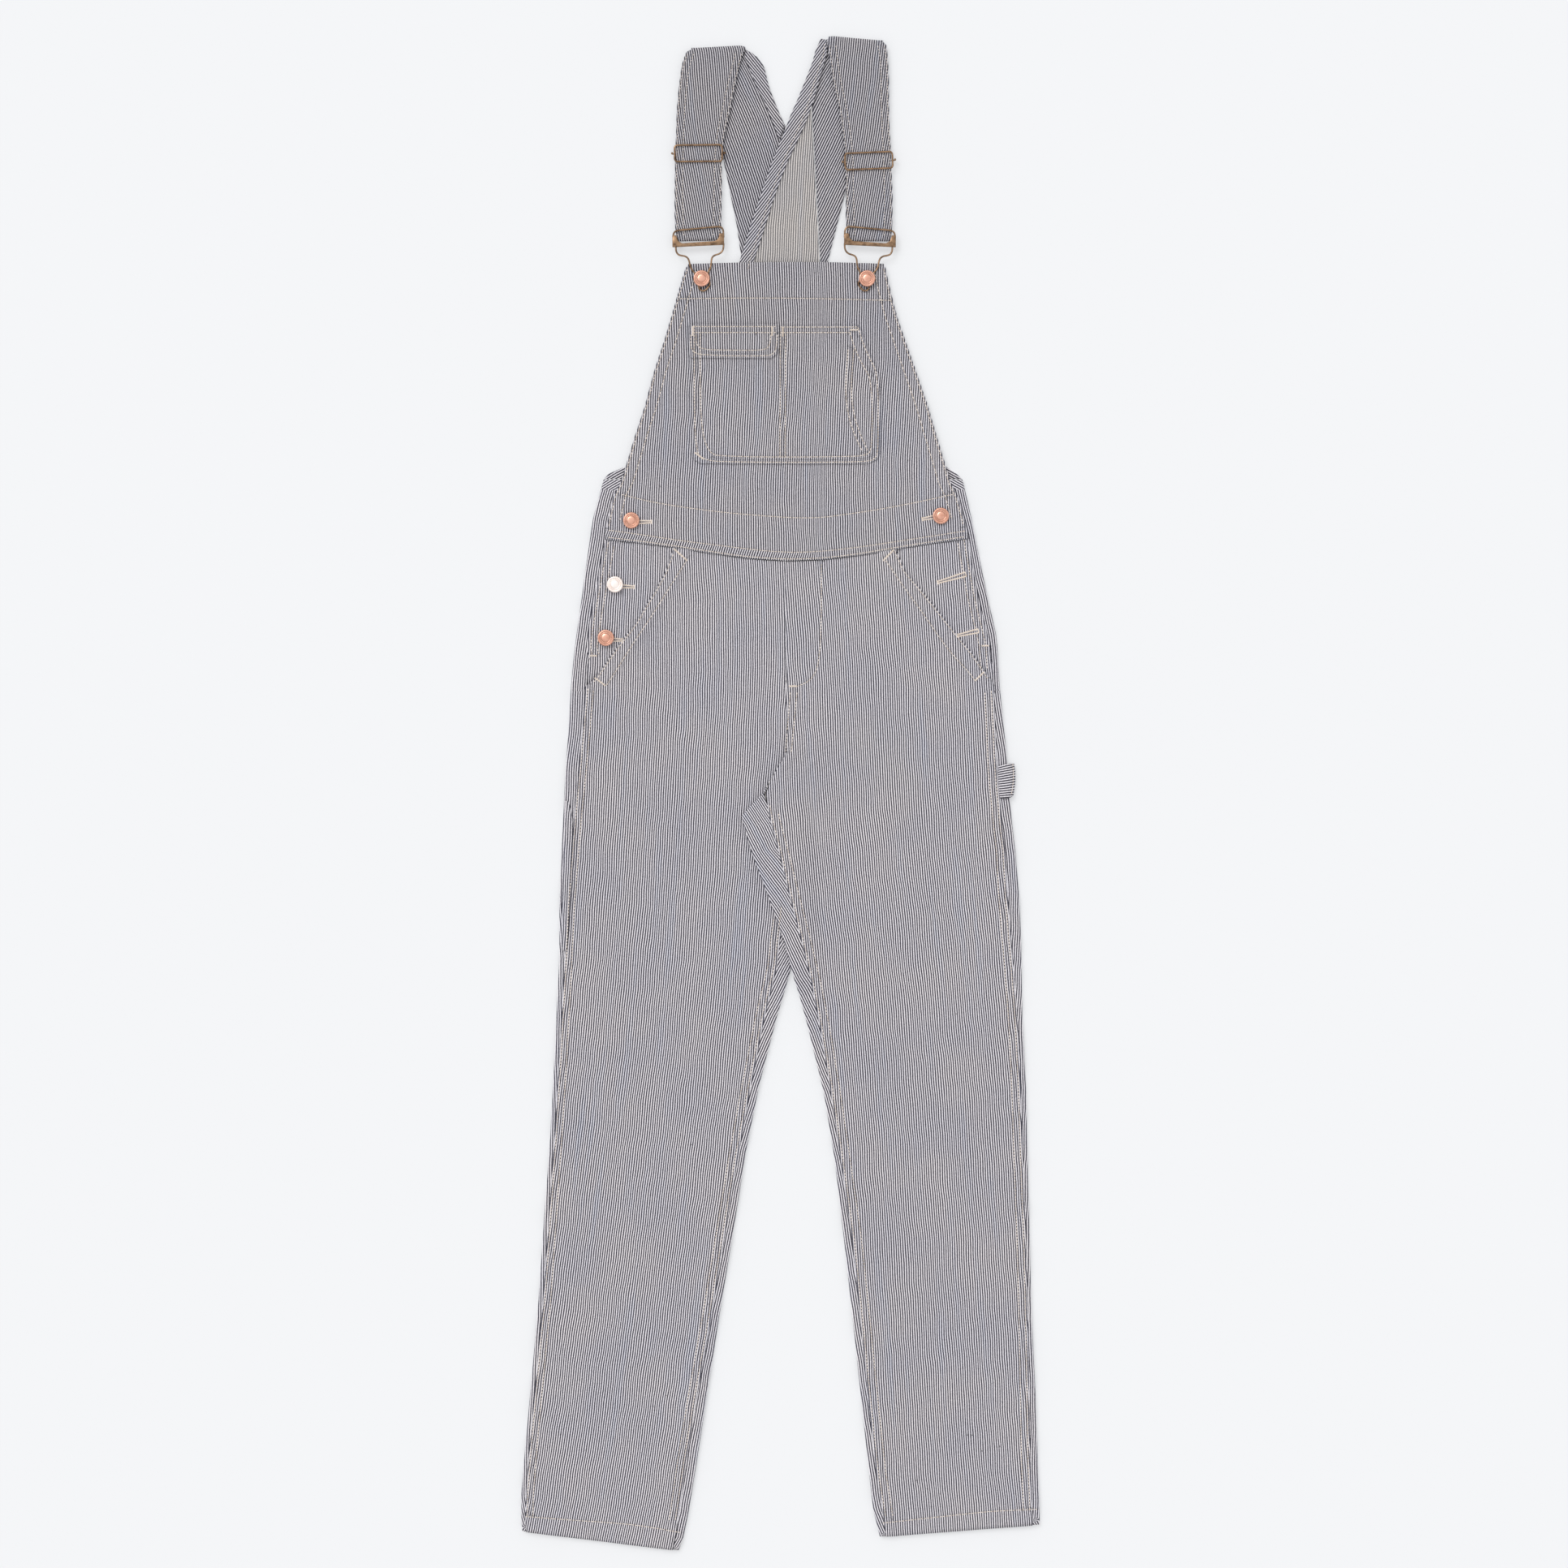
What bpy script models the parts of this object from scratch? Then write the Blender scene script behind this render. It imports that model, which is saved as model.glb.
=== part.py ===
"""Bib dungarees laid flat, front up: cut cloth pieces as thin walls, with the metal fittings fastened."""

import math
from collections import namedtuple

import bpy
import numpy as np

MM = 0.001
CLOTH = 1.0
WEBBING = 1.6
SEAM_GAP = 0.3
FOLD_RADIUS = 1.75
STRAP_FOLD_RADIUS = 1.5
FLOOR_LEVEL = CLOTH / 2
TOP_LEVEL = FLOOR_LEVEL + 2 * FOLD_RADIUS
STEP_UP = CLOTH + SEAM_GAP
FLAP_LIFT = 5.0
# How far an open, unturned edge of a back leg panel rises: the share of a half turn.
OPEN = 0.1
STRAP_FRONT_LEVEL = WEBBING / 2 + 2 * STRAP_FOLD_RADIUS
FITTING_LEVEL = 6.2
WIRE_RADIUS = 0.9
SLIDER_WIRE_RADIUS = 1.0
SLIDER_LEVEL = 5.95
SLIDER_WIDTH = 46.8
SLIDER_HEIGHT = 16.2
FITTING_MIRROR = 6.6
ARC_STEPS = 4

LegRow = namedtuple("LegRow", "y drop fold_out seam_out seam_in fold_in turn")
SlantRow = namedtuple("SlantRow", "y bow outer")
WidthRow = namedtuple("WidthRow", "y bow left right")
StrapRow = namedtuple("StrapRow", "left_x left_y right_x right_y")
WaistPoint = namedtuple("WaistPoint", "x drop")
Wave = namedtuple("Wave", "height across up shift")
# A soft step between two positions.
Step = namedtuple("Step", "start end")

RIPPLES = [Wave(0.4, 34, 120, 0), Wave(0.25, 23, -61, 1.1)]
FLAP_ACROSS = Step(40, 15)
FLAP_TOP = Step(66, 44)
FLAP_BOTTOM = Step(-196, -181)
# Where the bib rises over the back piece and the straps, and over the back legs' turned edges.
BIB_OVER_BACK_RISE = 1.6
BIB_OVER_BACK_ACROSS = Step(78, 46)
BIB_OVER_BACK_UP = Step(464, 491)
BIB_OVER_SIDES_UP = Step(330, 312)
BIB_OVER_SIDES_ACROSS = Step(17, 4)
BIB_REST_LEVEL = 3.6
BIB_WAIST_RISE = 0.4
BIB_WAIST_UP = Step(330, 290)
BIB_RIPPLE_SHARE = 0.6
BIB_RIPPLE_UP = Step(262, 300)
FELLED_SEAM_RISE = 0.35
FELLED_SEAM_UP = Step(263, 259)
BACK_BIB_RISE = 1.9
BACK_BIB_UP = Step(468, 497)
# How a front leg lies over the hip facing beside the slanted pocket.
POCKET_EDGE_ACROSS = Step(19, 13)
POCKET_EDGE_UP = Step(99, 111)
FRONT_RELAX_ACROSS = Step(10, 45)
FRONT_RELAX_UP = Step(252, 225)
FRONT_RELAX_SINK = 0.7
FACING_OVER_STRIP = Step(6.8, 3.0)
WAIST_GAP = 0.4

# How far the curved waist seam hangs below its ends.
WAIST_LINE = [
    WaistPoint(-190, -0.3),
    WaistPoint(-173, 0.8),
    WaistPoint(-140, 4.2),
    WaistPoint(-105, 8.8),
    WaistPoint(-75, 13.6),
    WaistPoint(-45, 18.2),
    WaistPoint(-15, 21.2),
    WaistPoint(10, 22.1),
    WaistPoint(35, 21.4),
    WaistPoint(64, 18.6),
    WaistPoint(90, 14.6),
    WaistPoint(113, 10.6),
    WaistPoint(150, 4.6),
    WaistPoint(183, 0.2),
    WaistPoint(200, -0.6),
]

# Heights are measured up the garment and widths across it, in millimetres.
LEG_R = [
    LegRow(308.5, 0, -174.5, -155, 4, 4, OPEN),
    LegRow(269.5, 0, -185, -158.5, 4, 4, OPEN),
    LegRow(221.5, 0, -192, -168, 4, 4, OPEN),
    LegRow(173.5, 0, -198.5, -176, 4, 4, OPEN),
    LegRow(149.5, 0, -202, -180, 5, 5, OPEN),
    LegRow(132, 0, -204, -188, 5, 5, OPEN),
    LegRow(105.5, 0, -206.5, -191, 5.5, 5.5, OPEN),
    LegRow(61.5, 0, -209, -195, 6.5, 6.5, OPEN),
    LegRow(41.5, 0.5, -210.5, -197, 6.5, 6.8, OPEN),
    LegRow(21.5, 1, -212, -198.5, 6, 8, 0.25),
    LegRow(5, 1.8, -212.8, -200.3, 5.5, 9, 0.6),
    LegRow(-10.5, 2.5, -213.5, -202, 5, 9.5, 1),
    LegRow(-50.5, 4, -215.5, -205.5, 4, 11, 1),
    LegRow(-106.5, 6.5, -218, -210, 3, 11, 1),
    LegRow(-162.5, 9, -218, -212.5, -4, 10.5, 1),
    LegRow(-186.5, 9.8, -219.2, -213.7, -10, 3.5, 1),
    LegRow(-210.5, 10.5, -220.5, -215, -16, -4, 1),
    LegRow(-274.5, 12, -223.5, -218.5, -29, -21, 1),
    LegRow(-338.5, 13, -227, -222.5, -41, -34, 1),
    LegRow(-418.5, 14.5, -233, -228, -54.5, -47, 1),
    LegRow(-498.5, 16, -238.5, -233.5, -68, -60.5, 1),
    LegRow(-578.5, 17, -245.5, -241, -82.5, -73, 1),
    LegRow(-642.5, 17.5, -251.5, -247, -93, -83, 1),
    LegRow(-690.5, 18.5, -255.5, -250.5, -100, -91, 1),
    LegRow(-714.5, 19, -255.5, -251, -104, -96, 1),
    LegRow(-726.5, 19, -254.5, -250, -106.5, -100.5, 1),
]
LEG_L = [
    LegRow(308.5, 0, 179, 165, 4.6, 4.6, OPEN),
    LegRow(269.5, 0, 188, 171, 4.6, 4.6, OPEN),
    LegRow(221.5, 0, 197.5, 179, 4.6, 4.6, OPEN),
    LegRow(173.5, 0, 208, 189, 4.6, 4.6, OPEN),
    LegRow(156, 0, 212, 195, 5.6, 5.6, OPEN),
    LegRow(141.5, 0, 213.5, 205.5, 5.6, 5.6, OPEN),
    LegRow(105.5, 0, 215.5, 209, 6.1, 6.1, OPEN),
    LegRow(65.5, 0, 219.5, 211, 7.6, 7.6, OPEN),
    LegRow(52, 0, 221, 211.5, 7.6, 7.6, OPEN),
    LegRow(41.5, 0, 222, 212, 7.4, 7.4, OPEN),
    LegRow(21.5, 0, 223.5, 213, -5, -5, OPEN),
    LegRow(10, 0, 224.2, 214, -10.5, -11.5, 0.25),
    LegRow(-1, 0, 225, 215, -14.5, -17.8, 0.6),
    LegRow(-11, 0, 226, 216, -13, -28, 1),
    LegRow(-23, 0, 227, 217, -11, -38.5, 1),
    LegRow(-58.5, 0, 231, 221, -1.5, -28.5, 1),
    LegRow(-98.5, 1, 234.5, 223, 8.5, -13, 1),
    LegRow(-138.5, 1.5, 236.5, 226, 19, 1.5, 1),
    LegRow(-165, 2.2, 237, 228.4, 25.6, 9, 1),
    LegRow(-180, 2.5, 237.2, 229.5, 29.3, 13, 1),
    LegRow(-196, 2.8, 237.5, 230.8, 32.5, 18.2, 1),
    LegRow(-226.5, 3, 238, 233, 38.5, 26.5, 1),
    LegRow(-290.5, 5, 241.5, 236, 49.5, 42.5, 1),
    LegRow(-354.5, 5.5, 243, 238, 59, 53, 1),
    LegRow(-434.5, 7, 245, 241, 70.5, 62.5, 1),
    LegRow(-514.5, 9, 247, 243, 79, 71.5, 1),
    LegRow(-594.5, 9.5, 251, 244.5, 87, 80, 1),
    LegRow(-658.5, 10.5, 253, 245.5, 94, 87, 1),
    LegRow(-694.5, 11, 254.5, 247, 100, 91, 1),
    LegRow(-720, 12, 255, 247.5, 104, 97.5, 1),
]
# The slanted hip pocket openings, from the waist seam down to the outseam.
SLANT_R = [
    SlantRow(250.5, 1, -105),
    SlantRow(221.5, 0.8, -114.5),
    SlantRow(200, 0.5, -125),
    SlantRow(165.5, 0.1, -144),
    SlantRow(143, 0, -161),
    SlantRow(121, 0, -176.5),
    SlantRow(111, 0, -183),
    SlantRow(105.5, 0, -190.6),
]
SLANT_L = [
    SlantRow(250.5, 1, 113),
    SlantRow(225.5, 0.8, 122.5),
    SlantRow(209, 0.6, 134),
    SlantRow(181.5, 0.25, 153.5),
    SlantRow(158.5, 0, 171),
    SlantRow(137.5, 0, 188),
    SlantRow(119, 0, 201),
    SlantRow(111, 0, 206),
    SlantRow(105.5, 0, 208.6),
]
FACING_R = [
    WidthRow(250.5, 1, -173, -93.5),
    WidthRow(221.5, 0.7, -178.5, -103),
    WidthRow(189.5, 0.2, -184, -121),
    WidthRow(161.5, 0, -189, -137),
    WidthRow(144, 0, -191, -149),
    WidthRow(138, 0, -190, -153),
    WidthRow(132, 0, -188, -157.5),
    WidthRow(118, 0, -188.5, -167.5),
]
FACING_L = [
    WidthRow(250.5, 1, 101.5, 184),
    WidthRow(221.5, 0.7, 113.5, 189),
    WidthRow(189.5, 0.2, 137, 195),
    WidthRow(161.5, 0, 157.5, 202),
    WidthRow(144, 0, 172, 206),
    WidthRow(132, 0, 181, 206.5),
    WidthRow(118, 0, 190.5, 207.5),
]
BIB = [
    WidthRow(518.5, -0.17, -90.5, 101),
    WidthRow(514.5, -0.15, -93.5, 103),
    WidthRow(505.5, -0.12, -96.5, 105),
    WidthRow(491, -0.06, -101, 108.5),
    WidthRow(477.5, 0, -105, 112),
    WidthRow(464, 0, -109, 116),
    WidthRow(445.5, 0, -114.5, 122.5),
    WidthRow(413.5, 0, -125, 133.5),
    WidthRow(381.5, 0, -133.5, 144.5),
    WidthRow(349.5, 0.05, -144, 154),
    WidthRow(323, 0.12, -152, 162),
    WidthRow(314, 0.18, -154.5, 164.5),
    WidthRow(305.5, 0.25, -157.5, 167),
    WidthRow(292, 0.4, -164.5, 173.5),
    WidthRow(269.5, 0.7, -169.5, 180),
    WidthRow(260.5, 0.86, -171.3, 182),
    WidthRow(251.1, 1, -173, 184),
]
BACK_BIB = [
    WidthRow(684, 0, 17, 28.5),
    WidthRow(669.5, 0, 11, 30.5),
    WidthRow(655, 0, 5.5, 31),
    WidthRow(621.5, 0, -8, 33),
    WidthRow(589.5, 0, -19, 34.5),
    WidthRow(557.5, 0, -29.5, 36.5),
    WidthRow(524, 0, -40, 38),
    WidthRow(501.5, 0, -43, 39.5),
    WidthRow(495, 0, -44.5, 53),
    WidthRow(478, 0, -49, 57),
    WidthRow(461.5, 0, -53.5, 61),
    WidthRow(429.5, 0, -65.5, 73),
    WidthRow(397.5, 0, -81.5, 90.5),
    WidthRow(365.5, 0, -101.5, 110.5),
    WidthRow(340, 0, -125.5, 134.5),
    WidthRow(321.5, 0, -153.5, 163),
    WidthRow(314.5, 0, -169.5, 173),
    WidthRow(309.5, 0, -174, 178.5),
]
NECK_BAND_L = [
    WidthRow(740.5, 0, 41, 44.2),
    WidthRow(735, 0, 37.8, 44.4),
    WidthRow(728, 0, 34.6, 43.8),
    WidthRow(713.5, 0, 29, 39),
    WidthRow(697.5, 0, 22.5, 34),
    WidthRow(681.5, 0, 16, 29.5),
    WidthRow(669.5, 0, 10.5, 25),
    WidthRow(655, 0, 5, 19.5),
    WidthRow(621.5, 0, -8.5, 4),
    WidthRow(589.5, 0, -19.5, -8),
    WidthRow(557.5, 0, -30, -18),
    WidthRow(524, 0, -40.5, -29),
    WidthRow(513.5, 0, -41.5, -31),
]
NECK_BAND_R = [
    WidthRow(731, 0, -33.8, -30),
    WidthRow(726, 0, -34.2, -26.4),
    WidthRow(716, 0, -31, -20.5),
    WidthRow(705, 0, -26, -15),
    WidthRow(693.5, 0, -21, -11),
    WidthRow(682.5, 0, -15, -7),
    WidthRow(671, 0, -10.5, -2),
    WidthRow(657.5, 0, -5, 3.5),
    WidthRow(649.5, 0, -3, 1.2),
    WidthRow(645, 0, -2.3, -0.8),
]
BIB_POCKET = [
    WidthRow(460, 0, -87.5, 77),
    WidthRow(436, 0, -87.5, 86.5),
    WidthRow(420, 0, -87.5, 93),
    WidthRow(409, 0, -87.5, 97.5),
    WidthRow(381.5, 0, -87.5, 98),
    WidthRow(352, 0, -87.5, 98),
    WidthRow(335, 0, -87, 97.5),
    WidthRow(329, 0.03, -85.5, 95),
    WidthRow(325, 0.06, -80, 86.5),
]
POCKET_FLAP = [
    WidthRow(461, 0, -89, -1.5),
    WidthRow(449.5, 0, -90, -1),
    WidthRow(437.5, 0, -90, -1.5),
    WidthRow(432, 0, -90, -3.5),
    WidthRow(428.5, 0.05, -89, -9.5),
]
STRAP_R_BACK = [
    StrapRow(-35, 501.6, -31, 501.6),
    StrapRow(-38.5, 524, -27, 524),
    StrapRow(-43, 557.5, -17, 557.5),
    StrapRow(-49.5, 589.5, -6.5, 589.5),
    StrapRow(-56, 621.5, 4.8, 621.5),
    StrapRow(-64, 653.5, 5.2, 655.5),
    StrapRow(-69, 669.5, -2, 671.5),
    StrapRow(-76, 692, -11, 694),
    StrapRow(-83, 713.5, -20.5, 716),
    StrapRow(-86, 722, -25, 725),
]
STRAP_R_FRONT = [
    StrapRow(-87.5, 731.3, -34.5, 734.2),
    StrapRow(-92.3, 728.6, -36, 730.5),
    StrapRow(-95, 724, -37.8, 726),
    StrapRow(-97.5, 716, -40.5, 718.5),
    StrapRow(-100.5, 693.5, -45.5, 693.5),
    StrapRow(-102.5, 669.5, -50.5, 669.5),
    StrapRow(-103, 649.5, -55, 649.5),
    StrapRow(-103.5, 639, -57, 639),
    StrapRow(-104, 620, -58, 620),
    StrapRow(-104.5, 589.5, -58, 589.5),
    StrapRow(-104.5, 565.5, -58.5, 565.5),
    StrapRow(-103, 545.4, -59, 546.3),
]
STRAP_R_RETURN = [
    StrapRow(-104, 565.5, -59, 565.5),
    StrapRow(-104, 588, -58.5, 588),
]
STRAP_L_BACK = [
    StrapRow(41, 501.6, 44, 501.6),
    StrapRow(39, 524, 46.5, 524),
    StrapRow(37.5, 557.5, 55, 557.5),
    StrapRow(35.5, 589.5, 63, 589.5),
    StrapRow(34, 621.5, 72, 619),
    StrapRow(32, 653.5, 80, 647),
    StrapRow(30.5, 679, 88, 671),
    StrapRow(22.5, 689, 92, 682.5),
    StrapRow(22.5, 697, 96, 693.5),
    StrapRow(28, 711, 99, 708),
    StrapRow(36, 727, 101, 723),
]
STRAP_L_FRONT = [
    StrapRow(46, 743.6, 100.5, 738.6),
    StrapRow(46.3, 738, 103.6, 735),
    StrapRow(46.8, 732, 104.9, 729.5),
    StrapRow(47.8, 725.5, 105.6, 721.5),
    StrapRow(51, 701.5, 106.5, 701.5),
    StrapRow(57, 677.5, 106.5, 677.5),
    StrapRow(60.5, 653.5, 107, 653.5),
    StrapRow(63.5, 632, 108.5, 632),
    StrapRow(64, 613.5, 109, 613.5),
    StrapRow(64, 589.5, 110, 589.5),
    StrapRow(64, 565.5, 110, 565.5),
    StrapRow(65.5, 545.5, 109, 545.5),
]
STRAP_L_RETURN = [
    StrapRow(65, 565.5, 109.5, 565.5),
    StrapRow(65, 588, 109.5, 588),
]
HAMMER_LOOP_PATH = [(213.8, 5.4), (218, 6.1), (223, 6.3), (227.4, 5.5), (230, 3.9), (230.6, 2.4)]
HAMMER_LOOP_TOP = 26.5
HAMMER_LOOP_BASE = -5.5
TOOL_POCKET = [
    WidthRow(-8, 0, -211.4, -209),
    WidthRow(-17, 0, -211.6, -206.6),
    WidthRow(-26, 0, -212, -205),
    WidthRow(-60, 0, -213.6, -206.2),
    WidthRow(-106, 0, -215.4, -207.5),
    WidthRow(-140, 0, -215.5, -209.4),
    WidthRow(-155, 0, -215.4, -210.6),
]
SLIDERS = {"slider_r": (-81.0, 629.4, 0.5), "slider_l": (86.6, 622.0, 2.3)}
# The fastener on the wearer's right: the other one is its mirror.
BUCKLE_FRAME = [
    (-104.2, 549.4),
    (-103.6, 553.0),
    (-101.6, 555.0),
    (-98.5, 555.6),
    (-65.0, 557.6),
    (-61.5, 557.2),
    (-59.6, 554.8),
    (-58.9, 551.4),
]
BUCKLE_BAR = [
    (-106.6, 547.0),
    (-106.5, 536.8),
    (-55.7, 539.2),
    (-55.7, 549.5),
    (-57.5, 550.6),
    (-60.4, 550.2),
    (-61.2, 545.4),
    (-64.5, 542.8),
    (-97.0, 540.6),
    (-101.0, 542.8),
    (-102.6, 548.2),
    (-105.0, 548.6),
]
BUCKLE_HOOK = [
    (-103.5, 535.4),
    (-103.5, 531.0),
    (-99.5, 528.2),
    (-92.0, 527.5),
    (-89.2, 523.5),
    (-88.5, 518.5),
    (-83.6, 513.3),
    (-82.3, 505.5),
    (-81.8, 498.2),
    (-79.6, 495.2),
    (-77.2, 494.3),
    (-74.8, 495.2),
    (-72.9, 498.2),
    (-72.8, 505.5),
    (-72.0, 513.3),
    (-68.5, 518.8),
    (-68.3, 524.0),
    (-65.6, 528.6),
    (-58.6, 530.6),
    (-56.4, 533.4),
    (-56.2, 537.6),
]
TACK_BUTTONS = {
    "bib_button_r": (-77.8, 505.8),
    "bib_button_l": (84.9, 505.8),
    "waist_button_r": (-147.0, 268.0),
    "waist_button_l": (157.5, 272.5),
    "side_button_upper": (-163.0, 205.0),
    "side_button_lower": (-172.0, 152.5),
}
# The outer side of a button from its top middle down to the underside of its head.
BUTTON_HEAD = [
    (0.0, 2.35),
    (3.4, 2.3),
    (4.4, 1.95),
    (5.4, 2.3),
    (6.8, 2.3),
    (7.7, 1.9),
    (8.1, 1.15),
    (7.8, 0.35),
    (6.9, 0.0),
]
BUTTON_SHANK_RADIUS = 2.4

COLOURS = {
    "striped cloth": ((0.36, 0.34, 0.37), 0.9, 0.0),
    "inside of cloth": ((0.44, 0.42, 0.41), 0.9, 0.0),
    "old brass": ((0.19, 0.12, 0.05), 0.4, 1.0),
    "copper": ((0.62, 0.29, 0.2), 0.3, 1.0),
}


def clear_scene():
    for item in list(bpy.data.objects):
        bpy.data.objects.remove(item, do_unlink=True)


def blend(value, start, end):
    """Smoothly from 0 at start to 1 at end, in either direction."""
    t = np.clip((np.asarray(value, float) - start) / (end - start), 0, 1)
    return t * t * (3 - 2 * t)


def read(rows, field, y):
    """One column of a table at height y. The tables run downwards."""
    heights = [row.y for row in rows][::-1]
    values = [getattr(row, field) for row in rows][::-1]
    return np.interp(y, heights, values)


def waist_curve(x):
    return -np.interp(x, [point.x for point in WAIST_LINE], [point.drop for point in WAIST_LINE])


def ripple(x, y):
    """Low waves of the relaxed cloth."""
    return sum(wave.height * np.sin(x / wave.across + y / wave.up + wave.shift) for wave in RIPPLES)


def crotch_lift(x, y):
    """How far the wearer's left leg is raised where it lies over the other one."""
    return FLAP_LIFT * blend(x, *FLAP_ACROSS) * blend(y, *FLAP_TOP) * blend(y, *FLAP_BOTTOM)


def bib_level(x, y):
    over_back = blend(np.abs(x), *BIB_OVER_BACK_ACROSS) * blend(y, *BIB_OVER_BACK_UP)
    start, end = BIB_OVER_SIDES_ACROSS
    left_seam = read(LEG_R, "seam_out", y)
    right_seam = read(LEG_L, "seam_out", y)
    left_side = blend(x, left_seam + start, left_seam + end)
    right_side = blend(x, right_seam - start, right_seam - end)
    over_sides = blend(y, *BIB_OVER_SIDES_UP) * np.maximum(left_side, right_side)
    relaxed = BIB_WAIST_RISE * blend(y, *BIB_WAIST_UP)
    relaxed += BIB_RIPPLE_SHARE * ripple(x, y) * blend(y, *BIB_RIPPLE_UP)
    seam = FELLED_SEAM_RISE * blend(y - waist_curve(x), *FELLED_SEAM_UP)
    return BIB_REST_LEVEL + relaxed + BIB_OVER_BACK_RISE * over_back + STEP_UP * over_sides + seam


def back_bib_level(y):
    return FLOOR_LEVEL + BACK_BIB_RISE * blend(y, *BACK_BIB_UP)


def finish(item, colour_name):
    colour, roughness, metallic = COLOURS[colour_name]
    material = bpy.data.materials.new(item.name + " " + colour_name)
    material.use_nodes = True
    shader = material.node_tree.nodes["Principled BSDF"]
    shader.inputs["Base Color"].default_value = (*colour, 1)
    shader.inputs["Roughness"].default_value = roughness
    shader.inputs["Metallic"].default_value = metallic
    item.data.materials.append(material)
    return item


def cloth(name, grid, thickness, colour_name):
    """A wall of even thickness around a grid of middle points, indexed [row, column, xyz]."""
    grid = np.asarray(grid, float)
    rows, columns = grid.shape[:2]
    index = np.arange(rows * columns).reshape(rows, columns)
    corners = (index[:-1, :-1], index[1:, :-1], index[1:, 1:], index[:-1, 1:])
    faces = np.stack([corner.ravel() for corner in corners], axis=1)
    mesh = bpy.data.meshes.new(name)
    mesh.from_pydata((grid.reshape(-1, 3) * MM).tolist(), [], faces.tolist())
    mesh.polygons.foreach_set("use_smooth", [True] * len(faces))
    item = bpy.data.objects.new(name, mesh)
    garment.objects.link(item)
    wall = item.modifiers.new("Wall", "SOLIDIFY")
    wall.thickness = thickness * MM
    wall.offset = 0
    wall.use_even_offset = True
    return finish(item, colour_name)


def across_leg(outer, inner, side):
    """Columns across a leg. The wearer's left leg has them close together where it is raised."""
    if side == "r":
        return np.linspace(outer, inner, 10)
    width = inner - outer
    near = math.copysign(min(64, abs(width) / 2), width)
    return np.concatenate([np.linspace(outer, inner - near, 5), np.linspace(inner - near, inner, 8)[1:]])


def front_columns(outer, inner, side):
    """The same for a front panel, with more columns where its pocket edge lies over the facing."""
    step = math.copysign(1, inner - outer)
    edge = outer + step * np.array([0, 4.0, 8.0, 13.0])
    return np.concatenate([edge, across_leg(outer + step * 19, inner, side)])


def leg_outward(side):
    """-1 for the wearer's right leg, whose outseam is at the left here."""
    return -1 if side == "r" else 1


def back_leg_section(row, side):
    """The cut across a back leg panel, from its outseam round the fold and under to the inseam."""
    inward = -leg_outward(side)
    reach = FOLD_RADIUS + CLOTH / 2
    outer = row.fold_out + inward * reach
    inner = row.fold_in - inward * reach
    path = [(x, TOP_LEVEL) for x in np.linspace(row.seam_out, outer, 3)[:-1]]
    for angle in np.linspace(math.pi / 2, -math.pi / 2, ARC_STEPS + 1):
        x = outer - inward * FOLD_RADIUS * math.cos(angle)
        path.append((x, FLOOR_LEVEL + FOLD_RADIUS * (1 + math.sin(angle))))
    path += [(x, FLOOR_LEVEL) for x in across_leg(outer, inner, side)[1:-1]]
    turned = math.pi * row.turn
    for angle in np.linspace(0, turned, ARC_STEPS + 1):
        x = inner + inward * FOLD_RADIUS * math.sin(angle)
        path.append((x, FLOOR_LEVEL + FOLD_RADIUS * (1 - math.cos(angle))))
    short = 1.8 - 2.4 * min(row.turn, 0.5)
    whole = inward * (inner - row.seam_in)
    length = np.interp(row.turn, [0.5, 1], [short, whole])
    end_x, end_z = path[-1]
    for part in (1 / 2, 1):
        x = end_x + inward * length * part * math.cos(turned)
        path.append((x, end_z + length * part * math.sin(turned)))
    return path


def back_leg(name, rows, side):
    grid = []
    for row in rows:
        line = []
        for x, z in back_leg_section(row, side):
            y = row.y - row.drop * (x - row.fold_out) / (row.fold_in - row.fold_out)
            lift = crotch_lift(x, y) if side == "l" else 0
            line.append((x, y, z + lift))
        grid.append(line)
    return cloth(name, grid, CLOTH, "striped cloth")


def front_leg(name, rows, slant, side):
    outward = leg_outward(side)
    heights = [row.y for row in slant] + [row.y for row in rows if row.y < slant[-1].y - 4]
    grid = []
    for y in heights:
        outer = read(rows, "seam_out", y) - outward * SEAM_GAP
        if y > slant[-1].y + 1:
            outer = read(slant, "outer", y)
        inner = read(rows, "seam_in", y) + outward * SEAM_GAP
        fold_out = read(rows, "fold_out", y)
        fold_in = read(rows, "fold_in", y)
        bow = read(slant, "bow", y) if y > 105 else 0
        line = []
        for x in front_columns(outer, inner, side):
            share = (x - outer) / (inner - outer)
            height = y + bow * (waist_curve(x) - WAIST_GAP)
            height -= read(rows, "drop", y) * (x - fold_out) / (fold_in - fold_out)
            from_edge = abs(x - outer)
            overlap = STEP_UP * blend(from_edge, *POCKET_EDGE_ACROSS) * blend(y, *POCKET_EDGE_UP)
            middle = math.sin(math.pi * share) * blend(from_edge, *FRONT_RELAX_ACROSS)
            relaxed = middle * (ripple(x, y) - FRONT_RELAX_SINK) * blend(y, *FRONT_RELAX_UP)
            level = TOP_LEVEL + overlap + relaxed
            if side == "l":
                level += crotch_lift(x, height)
            line.append((x, height, level))
        grid.append(line)
    return cloth(name, grid, CLOTH, "striped cloth")


def even_columns(left, right, count):
    return np.linspace(left, right, count)


def edged_columns(left, right, count):
    """Columns that stand close together near both sides."""
    edge = np.array([0, 5.0, 10.0, 15.0, 21.0])
    middle = np.linspace(left + 30, right - 30, count - 2 * len(edge))
    return np.concatenate([left + edge, middle, right - edge[::-1]])


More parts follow.
